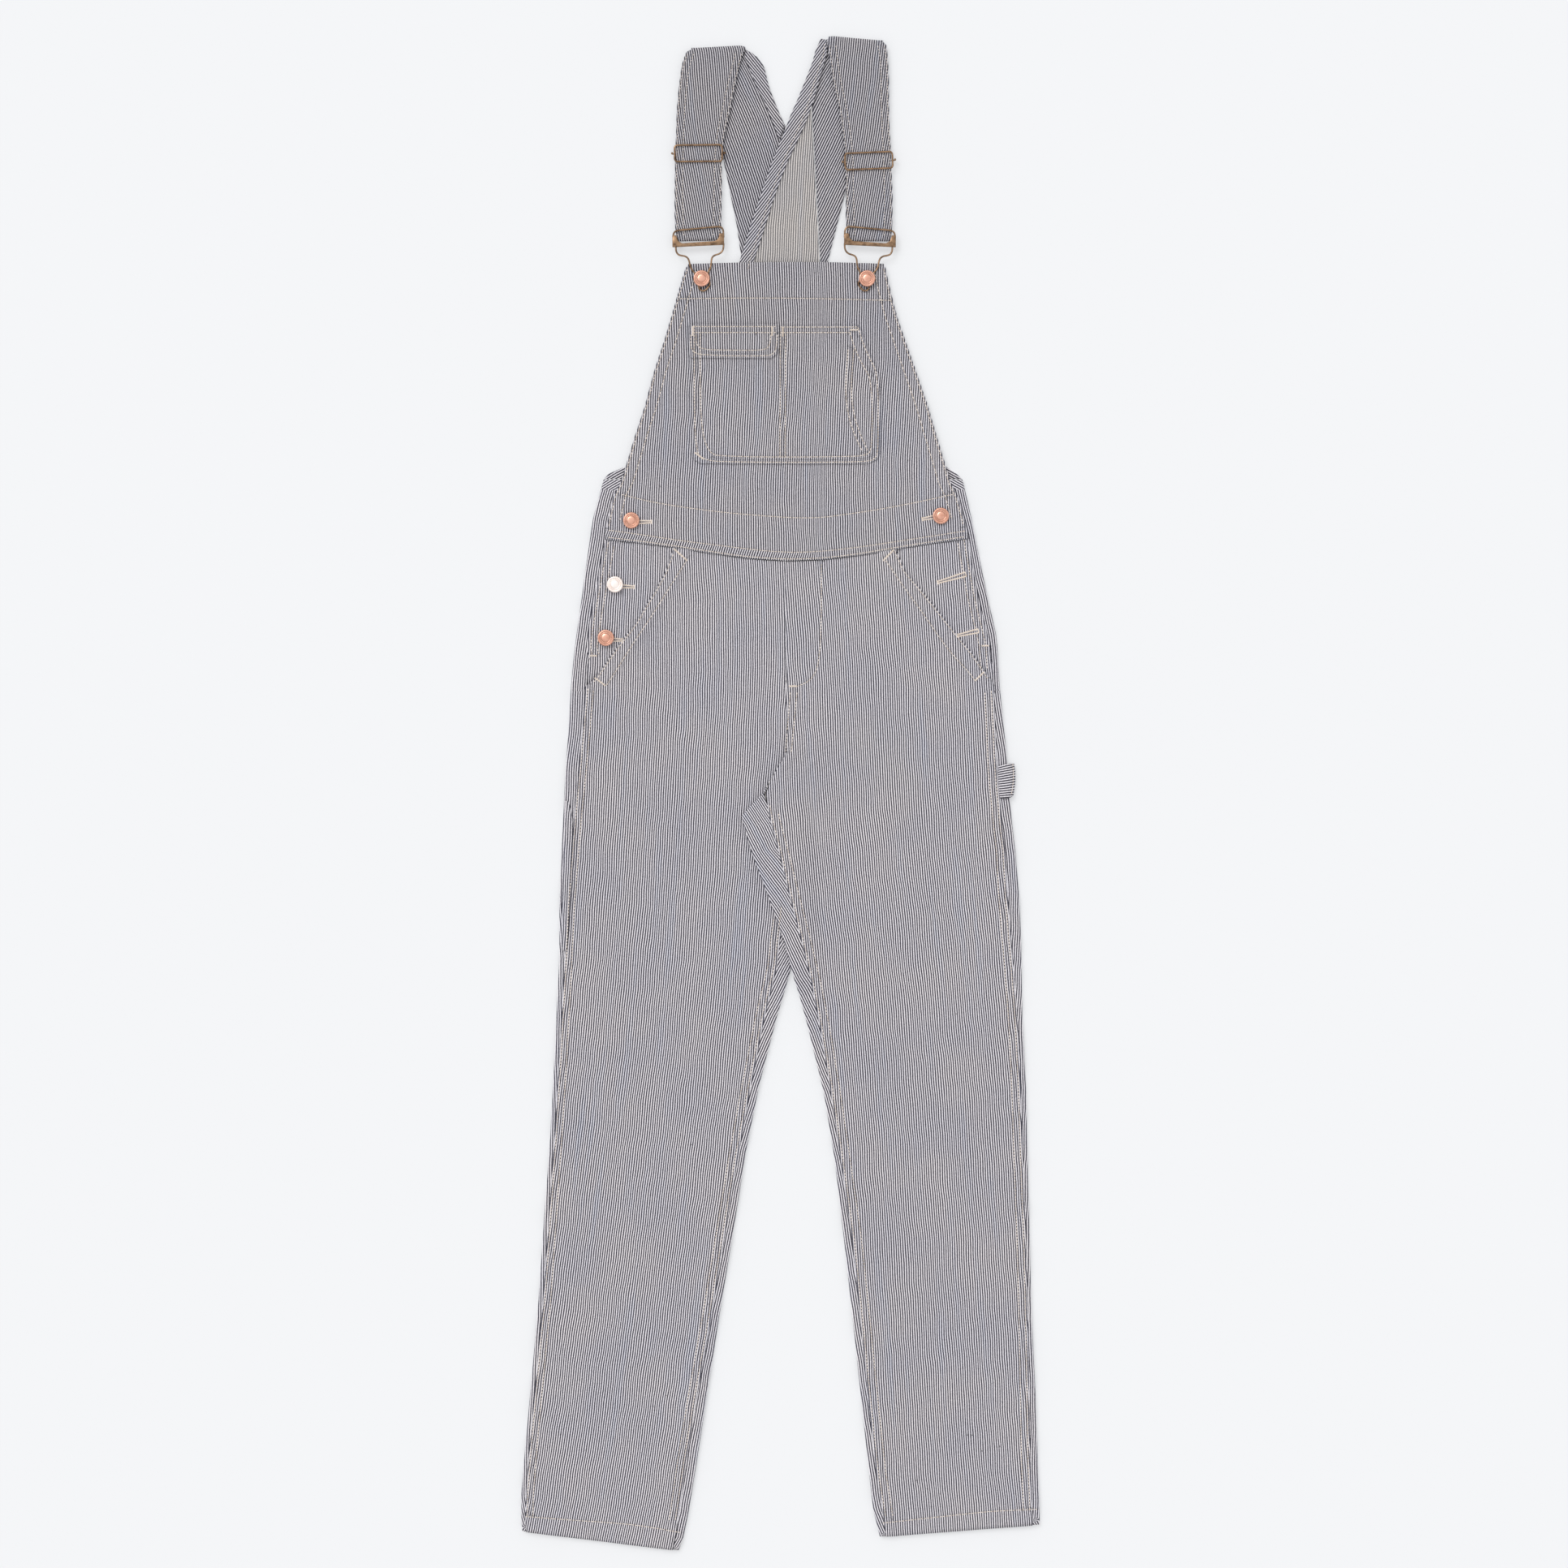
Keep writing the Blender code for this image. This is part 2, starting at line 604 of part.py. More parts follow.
def width_grid(rows, columns, level, spacing=even_columns):
    grid = []
    for row in rows:
        line = []
        for x in spacing(row.left, row.right, columns):
            y = row.y + row.bow * waist_curve(x)
            line.append((x, y, float(level(x, y))))
        grid.append(line)
    return grid


def hip_facing(name, rows, leg_rows, side):
    outward = leg_outward(side)
    shifted = [row._replace(y=row.y - WAIST_GAP * row.bow) for row in rows]

    def level(x, y):
        past_seam = -outward * (x - read(leg_rows, "seam_out", y))
        return TOP_LEVEL + STEP_UP * blend(past_seam, *FACING_OVER_STRIP)

    return cloth(name, width_grid(shifted, 13, level), CLOTH, "striped cloth")


def strap(name, back, front, back_end):
    """A shoulder strap: its back end, the turn at the shoulder, its front, and its turn round the buckle."""
    low = WEBBING / 2
    high = STRAP_FRONT_LEVEL
    sections = [(row, low, 0, 0) for row in back]
    sections += turn_sections(front[0], low, high, 1)
    sections += [(row, high, 0, 0) for row in front[1:-1]]
    sections += turn_sections(front[-1], high, low, -1)
    sections += [(row, low, 0, 0) for row in back_end]
    grid = []
    for row, level, along_x, along_y in sections:
        left = np.array([row.left_x + along_x, row.left_y + along_y, level])
        right = np.array([row.right_x + along_x, row.right_y + along_y, level])
        grid.append([left + (right - left) * share for share in np.linspace(0, 1, 4)])
    return cloth(name, grid, WEBBING, "striped cloth")


def turn_sections(row, start, end, up):
    """The half round of a folded strap, pointing up the garment (1) or down it (-1)."""
    across = math.atan2(row.right_y - row.left_y, row.right_x - row.left_x)
    sections = []
    for angle in np.linspace(-math.pi / 2, math.pi / 2, 5):
        level = (start + end) / 2 + (end - start) / 2 * math.sin(angle)
        bulge = up * STRAP_FOLD_RADIUS * math.cos(angle)
        sections.append((row, level, -bulge * math.sin(across), bulge * math.cos(across)))
    return sections


def hammer_loop(name):
    grid = []
    for y in np.linspace(HAMMER_LOOP_TOP, HAMMER_LOOP_BASE, 5):
        top = blend(y, HAMMER_LOOP_BASE, HAMMER_LOOP_TOP)
        grid.append([(x, y, z + 0.5 * top * (z - 2.4) / 4) for x, z in HAMMER_LOOP_PATH])
    return cloth(name, grid, CLOTH, "striped cloth")


def wire(name, points, radius, closed, colour_name, swell=()):
    """A round wire through points in millimetres; swell gives a wider radius by point number."""
    curve = bpy.data.curves.new(name, "CURVE")
    curve.dimensions = "3D"
    curve.bevel_depth = radius * MM
    curve.bevel_resolution = 2
    curve.use_fill_caps = not closed
    spline = curve.splines.new("POLY")
    spline.points.add(len(points) - 1)
    for number, (x, y, z) in enumerate(points):
        spline.points[number].co = (x * MM, y * MM, z * MM, 1)
        spline.points[number].radius = dict(swell).get(number, 1)
    spline.use_cyclic_u = closed
    item = bpy.data.objects.new(name, curve)
    garment.objects.link(item)
    return finish(item, colour_name)


def slider_frame(name, x, y, tilt):
    """A rounded rectangle of wire that lies on the strap."""
    corner = 3.0
    half_x = SLIDER_WIDTH / 2 - corner
    half_y = SLIDER_HEIGHT / 2 - corner
    turn = math.radians(tilt)
    points = []
    for quarter, (side_x, side_y) in enumerate(((1, 1), (-1, 1), (-1, -1), (1, -1))):
        for step in range(4):
            angle = math.pi / 2 * (quarter + step / 3)
            across = side_x * half_x + corner * math.cos(angle)
            along = side_y * half_y + corner * math.sin(angle)
            point_x = x + across * math.cos(turn) - along * math.sin(turn)
            point_y = y + across * math.sin(turn) + along * math.cos(turn)
            points.append((point_x, point_y, SLIDER_LEVEL))
    return wire(name, points, SLIDER_WIRE_RADIUS, True, "old brass")


def slider_bar(name, x, y, tilt):
    """The middle bar, which passes under the front of the strap and comes up at both its sides."""
    half = SLIDER_WIDTH / 2 + 2.4
    rise = half * math.sin(math.radians(tilt))
    points = [
        (x - half, y - rise, SLIDER_LEVEL + 0.9),
        (x - half, y - rise, SLIDER_LEVEL - 0.9),
        (x - half, y - rise, 2.9),
        (x - half + 0.6, y - rise, 2.3),
        (x + half - 0.6, y + rise, 2.3),
        (x + half, y + rise, 2.9),
        (x + half, y + rise, SLIDER_LEVEL - 0.9),
        (x + half, y + rise, SLIDER_LEVEL + 0.9),
    ]
    knobs = ((0, 2), (1, 2), (6, 2), (7, 2))
    return wire(name, points, 0.55, False, "old brass", knobs)


def place(points, side):
    """The fastener's points for one side, with x mirrored for the wearer's left."""
    if side == "l":
        return [(FITTING_MIRROR - x, y) for x, y in points]
    return points


def buckle(side):
    frame = [(x, y, FITTING_LEVEL) for x, y in place(BUCKLE_FRAME, side)]
    hook = [(x, y, FITTING_LEVEL) for x, y in place(BUCKLE_HOOK, side)]
    wire("buckle_frame_" + side, frame, WIRE_RADIUS, False, "old brass")
    wire("buckle_hook_" + side, hook, WIRE_RADIUS, False, "old brass")
    name = "buckle_bar_" + side
    curve = bpy.data.curves.new(name, "CURVE")
    curve.dimensions = "2D"
    curve.fill_mode = "BOTH"
    curve.extrude = 1.3 * MM
    spline = curve.splines.new("POLY")
    outline = place(BUCKLE_BAR, side)
    spline.points.add(len(outline) - 1)
    for number, (x, y) in enumerate(outline):
        spline.points[number].co = (x * MM, y * MM, 0, 1)
    spline.use_cyclic_u = True
    item = bpy.data.objects.new(name, curve)
    item.location.z = FITTING_LEVEL * MM
    garment.objects.link(item)
    return finish(item, "old brass")


def tack_button(name, x, y, foot, head_level):
    """A pressed tack button: a ringed head on a short post."""
    profile = [(radius, head_level + rise) for radius, rise in BUTTON_HEAD]
    profile += [(BUTTON_SHANK_RADIUS, head_level), (BUTTON_SHANK_RADIUS, foot), (0.0, foot)]
    mesh = bpy.data.meshes.new(name)
    points = [(radius * MM, 0, z * MM) for radius, z in profile]
    edges = [(number, number + 1) for number in range(len(points) - 1)]
    mesh.from_pydata(points, edges, [])
    item = bpy.data.objects.new(name, mesh)
    item.location = (x * MM, y * MM, 0)
    garment.objects.link(item)
    turned = item.modifiers.new("Turned", "SCREW")
    turned.steps = 16
    turned.render_steps = 16
    turned.use_merge_vertices = True
    turned.merge_threshold = 0.00005
    return finish(item, "copper")


clear_scene()
garment = bpy.data.collections.new("Dungarees")
bpy.context.scene.collection.children.link(garment)

back_leg("back_leg_r", LEG_R, "r")
back_leg("back_leg_l", LEG_L, "l")
front_leg("front_leg_r", LEG_R, SLANT_R, "r")
front_leg("front_leg_l", LEG_L, SLANT_L, "l")
hip_facing("hip_facing_r", FACING_R, LEG_R, "r")
hip_facing("hip_facing_l", FACING_L, LEG_L, "l")

cloth("bib_front", width_grid(BIB, 19, bib_level, edged_columns), CLOTH, "striped cloth")
cloth("back_bib", width_grid(BACK_BIB, 7, lambda x, y: back_bib_level(y)), CLOTH, "inside of cloth")

over_back = FLOOR_LEVEL + BACK_BIB_RISE + STEP_UP
cloth("neck_band_l", width_grid(NECK_BAND_L, 3, lambda x, y: over_back), CLOTH, "striped cloth")
over_strap = WEBBING + SEAM_GAP + CLOTH / 2
cloth("neck_band_r", width_grid(NECK_BAND_R, 3, lambda x, y: over_strap), CLOTH, "striped cloth")

pocket = width_grid(BIB_POCKET, 11, lambda x, y: bib_level(x, y) + STEP_UP)
cloth("bib_pocket", pocket, CLOTH, "striped cloth")
flap = width_grid(POCKET_FLAP, 8, lambda x, y: bib_level(x, y) + 2 * STEP_UP)
cloth("bib_pocket_flap", flap, CLOTH, "striped cloth")

strap("strap_r", STRAP_R_BACK, STRAP_R_FRONT, STRAP_R_RETURN)
strap("strap_l", STRAP_L_BACK, STRAP_L_FRONT, STRAP_L_RETURN)

hammer_loop("hammer_loop")
tool_level = TOP_LEVEL + STEP_UP
cloth("tool_pocket", width_grid(TOOL_POCKET, 3, lambda x, y: tool_level), CLOTH, "striped cloth")

for slider_name, (slider_x, slider_y, slider_tilt) in SLIDERS.items():
    slider_frame(slider_name, slider_x, slider_y, slider_tilt)
    slider_bar(slider_name + "_bar", slider_x, slider_y, slider_tilt)

buckle("r")
buckle("l")

for button_name, (button_x, button_y) in TACK_BUTTONS.items():
    cloth_top = TOP_LEVEL + STEP_UP + CLOTH / 2
    if button_y > 250:
        cloth_top = float(bib_level(button_x, button_y)) + CLOTH / 2 + 0.2
    if button_y > 500:
        tack_button(button_name, button_x, button_y, cloth_top, FITTING_LEVEL + WIRE_RADIUS + SEAM_GAP)
    else:
        tack_button(button_name, button_x, button_y, cloth_top + SEAM_GAP, cloth_top + 1.6)
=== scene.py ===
"""Bib dungarees laid flat, front up: striped work cloth, sewn seams, brass fittings and copper buttons."""

import math
from collections import namedtuple

import bmesh
import bpy
import numpy as np
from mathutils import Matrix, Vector
from mathutils.bvhtree import BVHTree
from mathutils.kdtree import KDTree


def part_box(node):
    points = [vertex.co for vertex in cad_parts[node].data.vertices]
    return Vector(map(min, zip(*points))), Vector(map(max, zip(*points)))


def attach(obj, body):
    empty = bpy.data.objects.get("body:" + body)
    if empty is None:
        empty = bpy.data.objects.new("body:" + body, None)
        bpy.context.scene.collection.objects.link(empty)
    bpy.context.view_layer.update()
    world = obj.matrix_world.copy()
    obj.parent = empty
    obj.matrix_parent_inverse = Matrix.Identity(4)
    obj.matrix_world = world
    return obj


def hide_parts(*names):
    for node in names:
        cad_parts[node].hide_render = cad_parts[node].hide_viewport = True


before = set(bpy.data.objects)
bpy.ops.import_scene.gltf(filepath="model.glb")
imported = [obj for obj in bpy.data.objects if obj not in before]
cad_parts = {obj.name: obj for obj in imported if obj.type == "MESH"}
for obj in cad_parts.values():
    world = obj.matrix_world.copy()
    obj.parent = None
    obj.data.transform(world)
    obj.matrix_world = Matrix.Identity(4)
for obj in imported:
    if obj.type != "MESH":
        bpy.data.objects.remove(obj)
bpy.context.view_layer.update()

MM = 0.001
UP = Vector((0, 0, 1))
# A face counts as seen from above when its normal rises more than this.
UP_FACING = 0.35
# One dark and one light stripe together.
STRIPE = 2.224 * MM
# Between the lower and the upper layer of a leg.
FOLD_MIDDLE = 2.25 * MM


def table(columns, *rows):
    """A listed table: one named tuple for each row."""
    row_type = namedtuple("Row", columns)
    return [row_type(*row) for row in rows]


# The pattern pieces before sewing, in metres, and what each one lies on.
CUTS = table(
    "node width length rests_on",
    ("back_leg_r", 0.49, 1.05, []),
    ("back_leg_l", 0.50, 1.05, []),
    ("front_leg_r", 0.21, 0.99, ["back_leg_r_cloth"]),
    ("front_leg_l", 0.24, 0.99, ["back_leg_l_cloth"]),
    ("hip_facing_r", 0.09, 0.14, ["back_leg_r_cloth"]),
    ("hip_facing_l", 0.09, 0.14, ["back_leg_l_cloth"]),
    ("bib_front", 0.36, 0.29, ["back_leg_r_cloth", "back_leg_l_cloth"]),
    ("bib_pocket", 0.187, 0.137, ["bib_front_cloth"]),
    ("bib_pocket_flap", 0.09, 0.036, ["bib_pocket_cloth"]),
    ("back_bib", 0.354, 0.376, []),
    ("neck_band_r", 0.0135, 0.087, ["strap_r_cloth"]),
    ("neck_band_l", 0.016, 0.235, ["back_bib_cloth"]),
    ("strap_r", 0.058, 0.45, []),
    ("strap_l", 0.062, 0.45, []),
    ("hammer_loop", 0.021, 0.034, ["back_leg_l_cloth"]),
    ("tool_pocket", 0.0104, 0.148, ["back_leg_r_cloth"]),
)
BIB_PIECES = ("bib_front", "bib_pocket", "bib_pocket_flap")

# ---------------------------------------------------------------- how the stripes run

# How far the stripes lean from upright at each height: positive runs down to the left. Heights in mm.
LEG_R_LEAN = table(
    "y degrees",
    (205.6, -2.5), (141.6, 0), (77.6, 2.6), (13.6, 3.5), (-50.4, 3.5), (-114.4, 4.4), (-178.4, 5.6),
    (-242.4, 5.6), (-306.4, 6.9), (-370.4, 6.9), (-434.4, 7.3), (-578.4, 7.3), (-626.4, 7.8), (-698.4, 10),
)
LEG_L_LEAN = table(
    "y degrees",
    (205.6, -4), (141.6, -4), (77.6, -2.5), (13.6, -3.5), (-50.4, -5.4), (-114.4, -6.5), (-178.4, -5),
    (-242.4, -5.6), (-306.4, -4), (-434.4, -4), (-498.4, -3.5), (-626.4, -3.5), (-690.4, -4.6),
)
BACK_R_LEAN = table("y degrees", (300, 4), (205.6, 3.6), (141.6, 3.4)) + LEG_R_LEAN[2:]
STRAP_R_LEAN = table(
    "y degrees", (737, -24), (729, -10), (716, -3), (694, -4.7), (662, -7.8), (590, -11), (546, -11)
)
STRAP_L_LEAN = table("y degrees", (740, 4), (714, 6), (694, 8), (662, 8.2), (590, 10.5), (546, 10.5))
STRAP_R_BACK_LEAN = table("y degrees", (735, -34), (713, -29), (680, -23), (620, -18.5), (500, -17))
STRAP_L_BACK_LEAN = table("y degrees", (742, 40), (715, 33), (690, 28), (640, 26), (500, 29))
# The bib's stripes lean by the middle value, changing across it.
BIB_LEAN = table(
    "y middle per_metre",
    (518, -2.6, 38), (494, -2.6, 38), (438, 0, 12), (414, 3, 5),
    (342, 3, -5), (294, 0.4, -17), (246, -2.4, -17),
)


def running_sum(heights, slopes, fine):
    """The distance moved across at each fine height, from slopes given at some heights in millimetres."""
    return np.concatenate([[0], np.cumsum(np.interp(fine[1:], heights * MM, slopes) * np.diff(fine))])


def lean_offset(lean, y):
    """How far a stripe has moved across at height y (m), from the lean of the stripes."""
    heights, degrees = np.array(lean)[::-1].T
    fine = np.linspace(-0.8, 0.8, 1601)
    return np.interp(y, fine, running_sum(heights, np.tan(np.radians(degrees)), fine))


def bib_offset(x, y):
    """The same for the bib, whose stripes fan out about its middle height."""
    heights, middle, per_metre = np.array(BIB_LEAN)[::-1].T
    fine = np.linspace(0.2, 0.6, 401)
    moved = running_sum(heights, np.tan(np.radians(middle)), fine)
    spread = running_sum(heights, np.radians(per_metre), fine)
    spread -= np.interp(0.4, fine, spread)
    return np.interp(y, fine, moved) + x * np.interp(y, fine, spread)


def blend(value, start, end):
    """Smoothly from 0 at start to 1 at end, in either direction."""
    t = np.clip((np.asarray(value, float) - start) / (end - start), 0, 1)
    return t * t * (3 - 2 * t)


FLAP_LIFT = 5.0 * MM
FLAP_EDGE = (0.040, 0.015)
FLAP_TOP = (0.066, 0.044)
FLAP_FOOT = (-0.196, -0.181)


def crotch_lift(place):
    """How far the wearer's left leg is raised where it lies over the other one."""
    x, y = place[:, :2].T
    return FLAP_LIFT * blend(x, *FLAP_EDGE) * blend(y, *FLAP_TOP) * blend(y, *FLAP_FOOT)


# ---------------------------------------------------------------- reading and writing meshes


def read(items, field, width=1, kind=float):
    """One field of a mesh's vertices, edges, loops or faces, as an array with a row for each."""
    values = np.empty(len(items) * width, dtype=kind)
    items.foreach_get(field, values)
    return values.reshape(-1, width) if width > 1 else values


def points_of(mesh):
    """The mesh's vertices as rows of x, y and z."""
    return read(mesh.vertices, "co", 3)


def loops_of(mesh):
    """(face of each loop, vertex of each loop, face middles, face normals)."""
    vertex = read(mesh.loops, "vertex_index", kind=np.int64)
    totals = read(mesh.polygons, "loop_total", kind=np.int64)
    face = np.repeat(np.arange(len(totals)), totals)
    return face, vertex, read(mesh.polygons, "center", 3), read(mesh.polygons, "normal", 3)


def write_map(mesh, name, u, v):
    """A UV map, from one u and one v for each loop."""
    layer = mesh.uv_layers.new(name=name)
    layer.data.foreach_set("uv", np.stack([u, v], axis=1).ravel())


def smooth(mesh):
    mesh.polygons.foreach_set("use_smooth", np.ones(len(mesh.polygons), dtype=bool))


def tree_of(meshes):
    """The triangles of several meshes in one tree, to see what lies over or under a point."""
    points = []
    faces = []
    for mesh in meshes:
        corners = read(mesh.loops, "vertex_index", kind=np.int64).reshape(-1, 3)
        faces.extend((corners + len(points)).tolist())
        points.extend(points_of(mesh).tolist())
    return BVHTree.FromPolygons(points, faces)


def copy_of(name, ending):
    """A CAD node as a new piece that can be worked on."""
    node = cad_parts[name]
    piece = node.copy()
    piece.data = node.data.copy()
    piece.name = name + ending
    bpy.context.scene.collection.objects.link(piece)
    return piece


class Sides:
    """The two long sides of a cloth piece: its lowest and highest x at each height."""

    def __init__(self, name):
        low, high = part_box(name)
        inset = 0.4 * MM
        self.heights = np.linspace(low[1] + inset, high[1] - inset, 260)
        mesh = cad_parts[name].data
        ends = points_of(mesh)[read(mesh.edges, "vertices", 2, np.int64)]
        start, end = ends[:, 0], ends[:, 1]
        spans = []
        for y in self.heights:
            crossed = (start[:, 1] - y) * (end[:, 1] - y) <= 0
            crossed &= np.abs(end[:, 1] - start[:, 1]) > 1e-7
            near, far = start[crossed], end[crossed]
            share = (y - near[:, 1]) / (far[:, 1] - near[:, 1])
            x = near[:, 0] + share * (far[:, 0] - near[:, 0])
            spans.append((x.min(), x.max()))
        left, right = np.array(spans).T
        self.lines = {"left": left, "right": right}

    def at(self, side, y):
        return np.interp(y, self.heights, self.lines[side])

    def slope(self, side, y):
        return np.interp(y, self.heights, np.gradient(self.lines[side], self.heights))

    def from_each(self, x, y):
        """The distance of each point from the left and from the right side."""
        return np.abs(x - self.at("left", y)), np.abs(self.at("right", y) - x)


SIDES = {cut.node: Sides(cut.node) for cut in CUTS}

# ---------------------------------------------------------------- stitch lines

STITCH_PITCH = 3.1 * MM
STITCH_LENGTH = 2.35 * MM

# Seams drawn one by one, in millimetres.
UPPER_WAIST = [(-156.8, 293.6), (-124.8, 285.6), (-76.8, 278.4), (-32, 273.6), (28.8, 269.6),
               (67.2, 274.4), (112.8, 281.6), (169.6, 293.6)]
FELL_UPPER = [(-169.6, 258.4), (-144.8, 255.2), (-103.2, 248.8), (-58.4, 243.2), (-4.8, 236.8),
              (31.2, 236.8), (76.8, 241.6), (112.8, 247.2), (181.6, 257.6)]
FELL_LOWER = [(-170, 251.4), (-140, 247.9), (-105, 243.3), (-75, 238.5), (-45, 233.9), (-15, 230.9),
              (10, 230), (35, 230.7), (64, 233.5), (90, 237.5), (113, 241.5), (150, 247.5), (181, 251.9)]
HEM_R = [(-251.6, -712), (-204.8, -716), (-143.5, -720), (-98.4, -728)]
HEM_L = [(100, -718.5), (131.2, -715.5), (184.8, -709.5), (210.4, -706.8), (252.8, -705)]
DRAWN_SEAMS = table(
    "panel lines",
    ("bib", [[(-99.2, 486.4), (4.8, 487.2), (108, 484.8)], UPPER_WAIST, FELL_UPPER, FELL_LOWER]),
    ("legs", [
        HEM_R,
        HEM_L,
        [(228.2, 29.0), (229.0, 18.5), (228.4, 7.5), (226.8, -1.5)],
        [(40, 225.6), (40, 178.4), (39.2, 145.6), (36, 120.8), (28, 109.6), (16, 104.8)],
        [(9.4, 99.2), (4.8, 40)],
        [(16, 99.2), (10.4, 40)],
    ]),
    ("pocket", [
        [(-85.1, 460), (-85.1, 336.8), (-74.4, 326.8), (-45.6, 325.6), (5.4, 325.2), (54.4, 325.4),
         (86, 326.2), (93, 329), (96, 335.2), (95.8, 412), (88, 426.4), (80.8, 442.4), (76, 458.4)],
        [(-79.2, 452), (-79.2, 333.6), (-45.6, 330.8), (5.4, 330.4), (54.4, 330.8), (85.3, 331.6),
         (90, 340), (90, 405.6), (80, 421.6), (72.8, 437.6), (68, 452.8)],
        [(66.4, 436.8), (63.2, 397.6), (66.4, 371.2), (72.8, 352), (80, 336.8)],
        [(72, 436.8), (68.8, 397.6), (72, 371.2), (78.4, 352), (85.6, 336.8)],
        [(-1, 458.4), (75.5, 458.4)],
        [(-1, 453), (69, 453)],
        [(-87.5, 458.6), (-4.4, 458.6)],
        [(-87.5, 452.8), (-4.4, 452.8)],
        [(-0.4, 452), (-0.8, 330)],
        [(4.8, 452), (4.4, 330)],
        [(-88.4, 451), (-88.7, 432), (-65.6, 430.4), (-46.4, 429.8), (-20, 429.8), (-9.6, 430.4),
         (-4.4, 435), (-3.2, 451)],
        [(-83.2, 451), (-83.2, 436), (-46.4, 435.4), (-16.8, 435.2), (-10.7, 439.5), (-9.6, 451)],
    ]),
    ("legs", [
        [(-92.1, 229.6), (-110.4, 200.5), (-125.8, 176), (-138, 157.6), (-150.4, 139.2),
         (-162.5, 119.4), (-171.7, 105.6)],
        [(103.2, 228.8), (120, 204), (142.4, 173.6), (163.2, 142.4), (186.4, 117.6), (191.2, 110.4)],
    ]),
)
# Seams that follow a cloth edge, each as (distance from the edge, top, bottom). All in millimetres.
SIDE_SEAMS = table(
    "panel node side seams",
    ("legs", "front_leg_r", "left", [(1.2, 103, -712), (6.8, 101, -712)]),
    ("legs", "front_leg_l", "right", [(1.8, 101, -706), (8.2, 99, -706)]),
    ("legs", "front_leg_r", "right", [(2.2, -112, -716), (8.4, -124, -716)]),
    ("legs", "front_leg_l", "left", [(1.8, -12, -712), (8.9, -20, -712)]),
    ("legs", "front_leg_r", "left", [(1.6, 235, 109)]),
    ("legs", "front_leg_l", "right", [(1.6, 238, 112)]),
    ("legs", "hip_facing_r", "left", [(4.0, 247, 136), (10.4, 243, 136)]),
    ("legs", "hip_facing_l", "right", [(4.0, 250, 122), (10.4, 246, 122)]),
    ("straps", "neck_band_l", "right", [(1.6, 738, 515)]),
    ("bib", "bib_front", "left", [(1.8, 516, 262), (11.6, 514, 268)]),
    ("bib", "bib_front", "right", [(1.8, 516, 264), (11.6, 514, 270)]),
)
# The front of each strap, for the two seams beside both its edges. In millimetres.
STRAP_FRONTS = [
    table(
        "y left right",
        (728, -93, -37), (716, -97.5, -40), (693.5, -100.5, -45.5), (669.5, -102.5, -50.5),
        (639, -103.5, -57), (589.5, -104.5, -58), (548, -103, -59),
    ),
    table(
        "y left right",
        (736, 46.5, 103), (725.5, 47.8, 105.5), (701.5, 51, 106.5), (677.5, 57, 106.5),
        (632, 63.5, 108.5), (589.5, 64, 110), (548, 65.3, 109.3),
    ),
]
STRAP_INSETS = (1.5, 7.6)
# Bartacks: close zigzags of thread that hold the ends of seams. In millimetres.
TACKS = table(
    "x1 y1 x2 y2",
    (-105.1, 240.2, -92.1, 228.6), (-183.2, 113.4, -172.5, 105.6), (-188, 135, -180.8, 135),
    (100.8, 228.4, 111.2, 239.2), (191.2, 110.4, 200, 119), (197.6, 144.8, 204.8, 144.8), (8, 105, 16, 105),
    (-86.6, 449.5, -86.6, 459), (-8.5, 449.5, -8.5, 459), (2, 449, 2, 458.5), (68, 455.7, 76, 455.7),
    (-84.6, 335, -76, 328.6),
)


def along(points, pitch):
    """Evenly spaced (x, y, direction x, direction y) along a line of points in metres."""
    points = np.asarray(points, float)
    distance = np.concatenate([[0], np.cumsum(np.hypot(*np.diff(points, axis=0).T))])
    count = max(2, int(round(distance[-1] / pitch)))
    where = (np.arange(count) + 0.5) * distance[-1] / count
    ahead = np.minimum(where + pitch / 2, distance[-1])
    behind = np.maximum(where - pitch / 2, 0)
    here, forth, back = (
        np.stack([np.interp(place, distance, column) for column in points.T], axis=1)
        for place in (where, ahead, behind)
    )
    way = forth - back
    return np.hstack([here, way / np.hypot(*way.T)[:, None]])


def rounded(points, passes=3):
    """Corners of a drawn line cut off, so that a seam bends softly."""
    points = np.asarray(points, float)
    for _ in range(passes):
        near = 0.75 * points[:-1] + 0.25 * points[1:]
        far = 0.25 * points[:-1] + 0.75 * points[1:]
        middle = np.stack([near, far], axis=1).reshape(-1, 2)
        points = np.concatenate([points[:1], middle[1:-1], points[-1:]])
    return points


def seam_lines():
    """Every seam as (panel, line of points in metres)."""
    lines = [(drawn.panel, rounded(np.array(line) * MM)) for drawn in DRAWN_SEAMS for line in drawn.lines]
    for edge in SIDE_SEAMS:
        inward = 1 if edge.side == "left" else -1
        for inset, top, bottom in edge.seams:
            y = np.linspace(top, bottom, 150) * MM
            x = SIDES[edge.node].at(edge.side, y) + inward * inset * MM
            lines.append((edge.panel, np.stack([x, y], axis=1)))
    for front in STRAP_FRONTS:
        y, left, right = np.array(front).T
        for inset in STRAP_INSETS:
            for x in (left + inset, right - inset):
                lines.append(("straps", rounded(np.stack([x, y], axis=1) * MM)))
    return lines


SEAMS = seam_lines()
# How far apart the places lie that stand for a seam.
SEAM_STEP = STITCH_PITCH / 2


def seam_rows():
    """Places along every seam: x, y, direction x, direction y and the distance travelled."""
    rows = []
    for _, line in SEAMS:
        places = along(line, SEAM_STEP)
        rows.append(np.column_stack([places, (np.arange(len(places)) + 0.5) * SEAM_STEP]))
    return np.concatenate(rows)


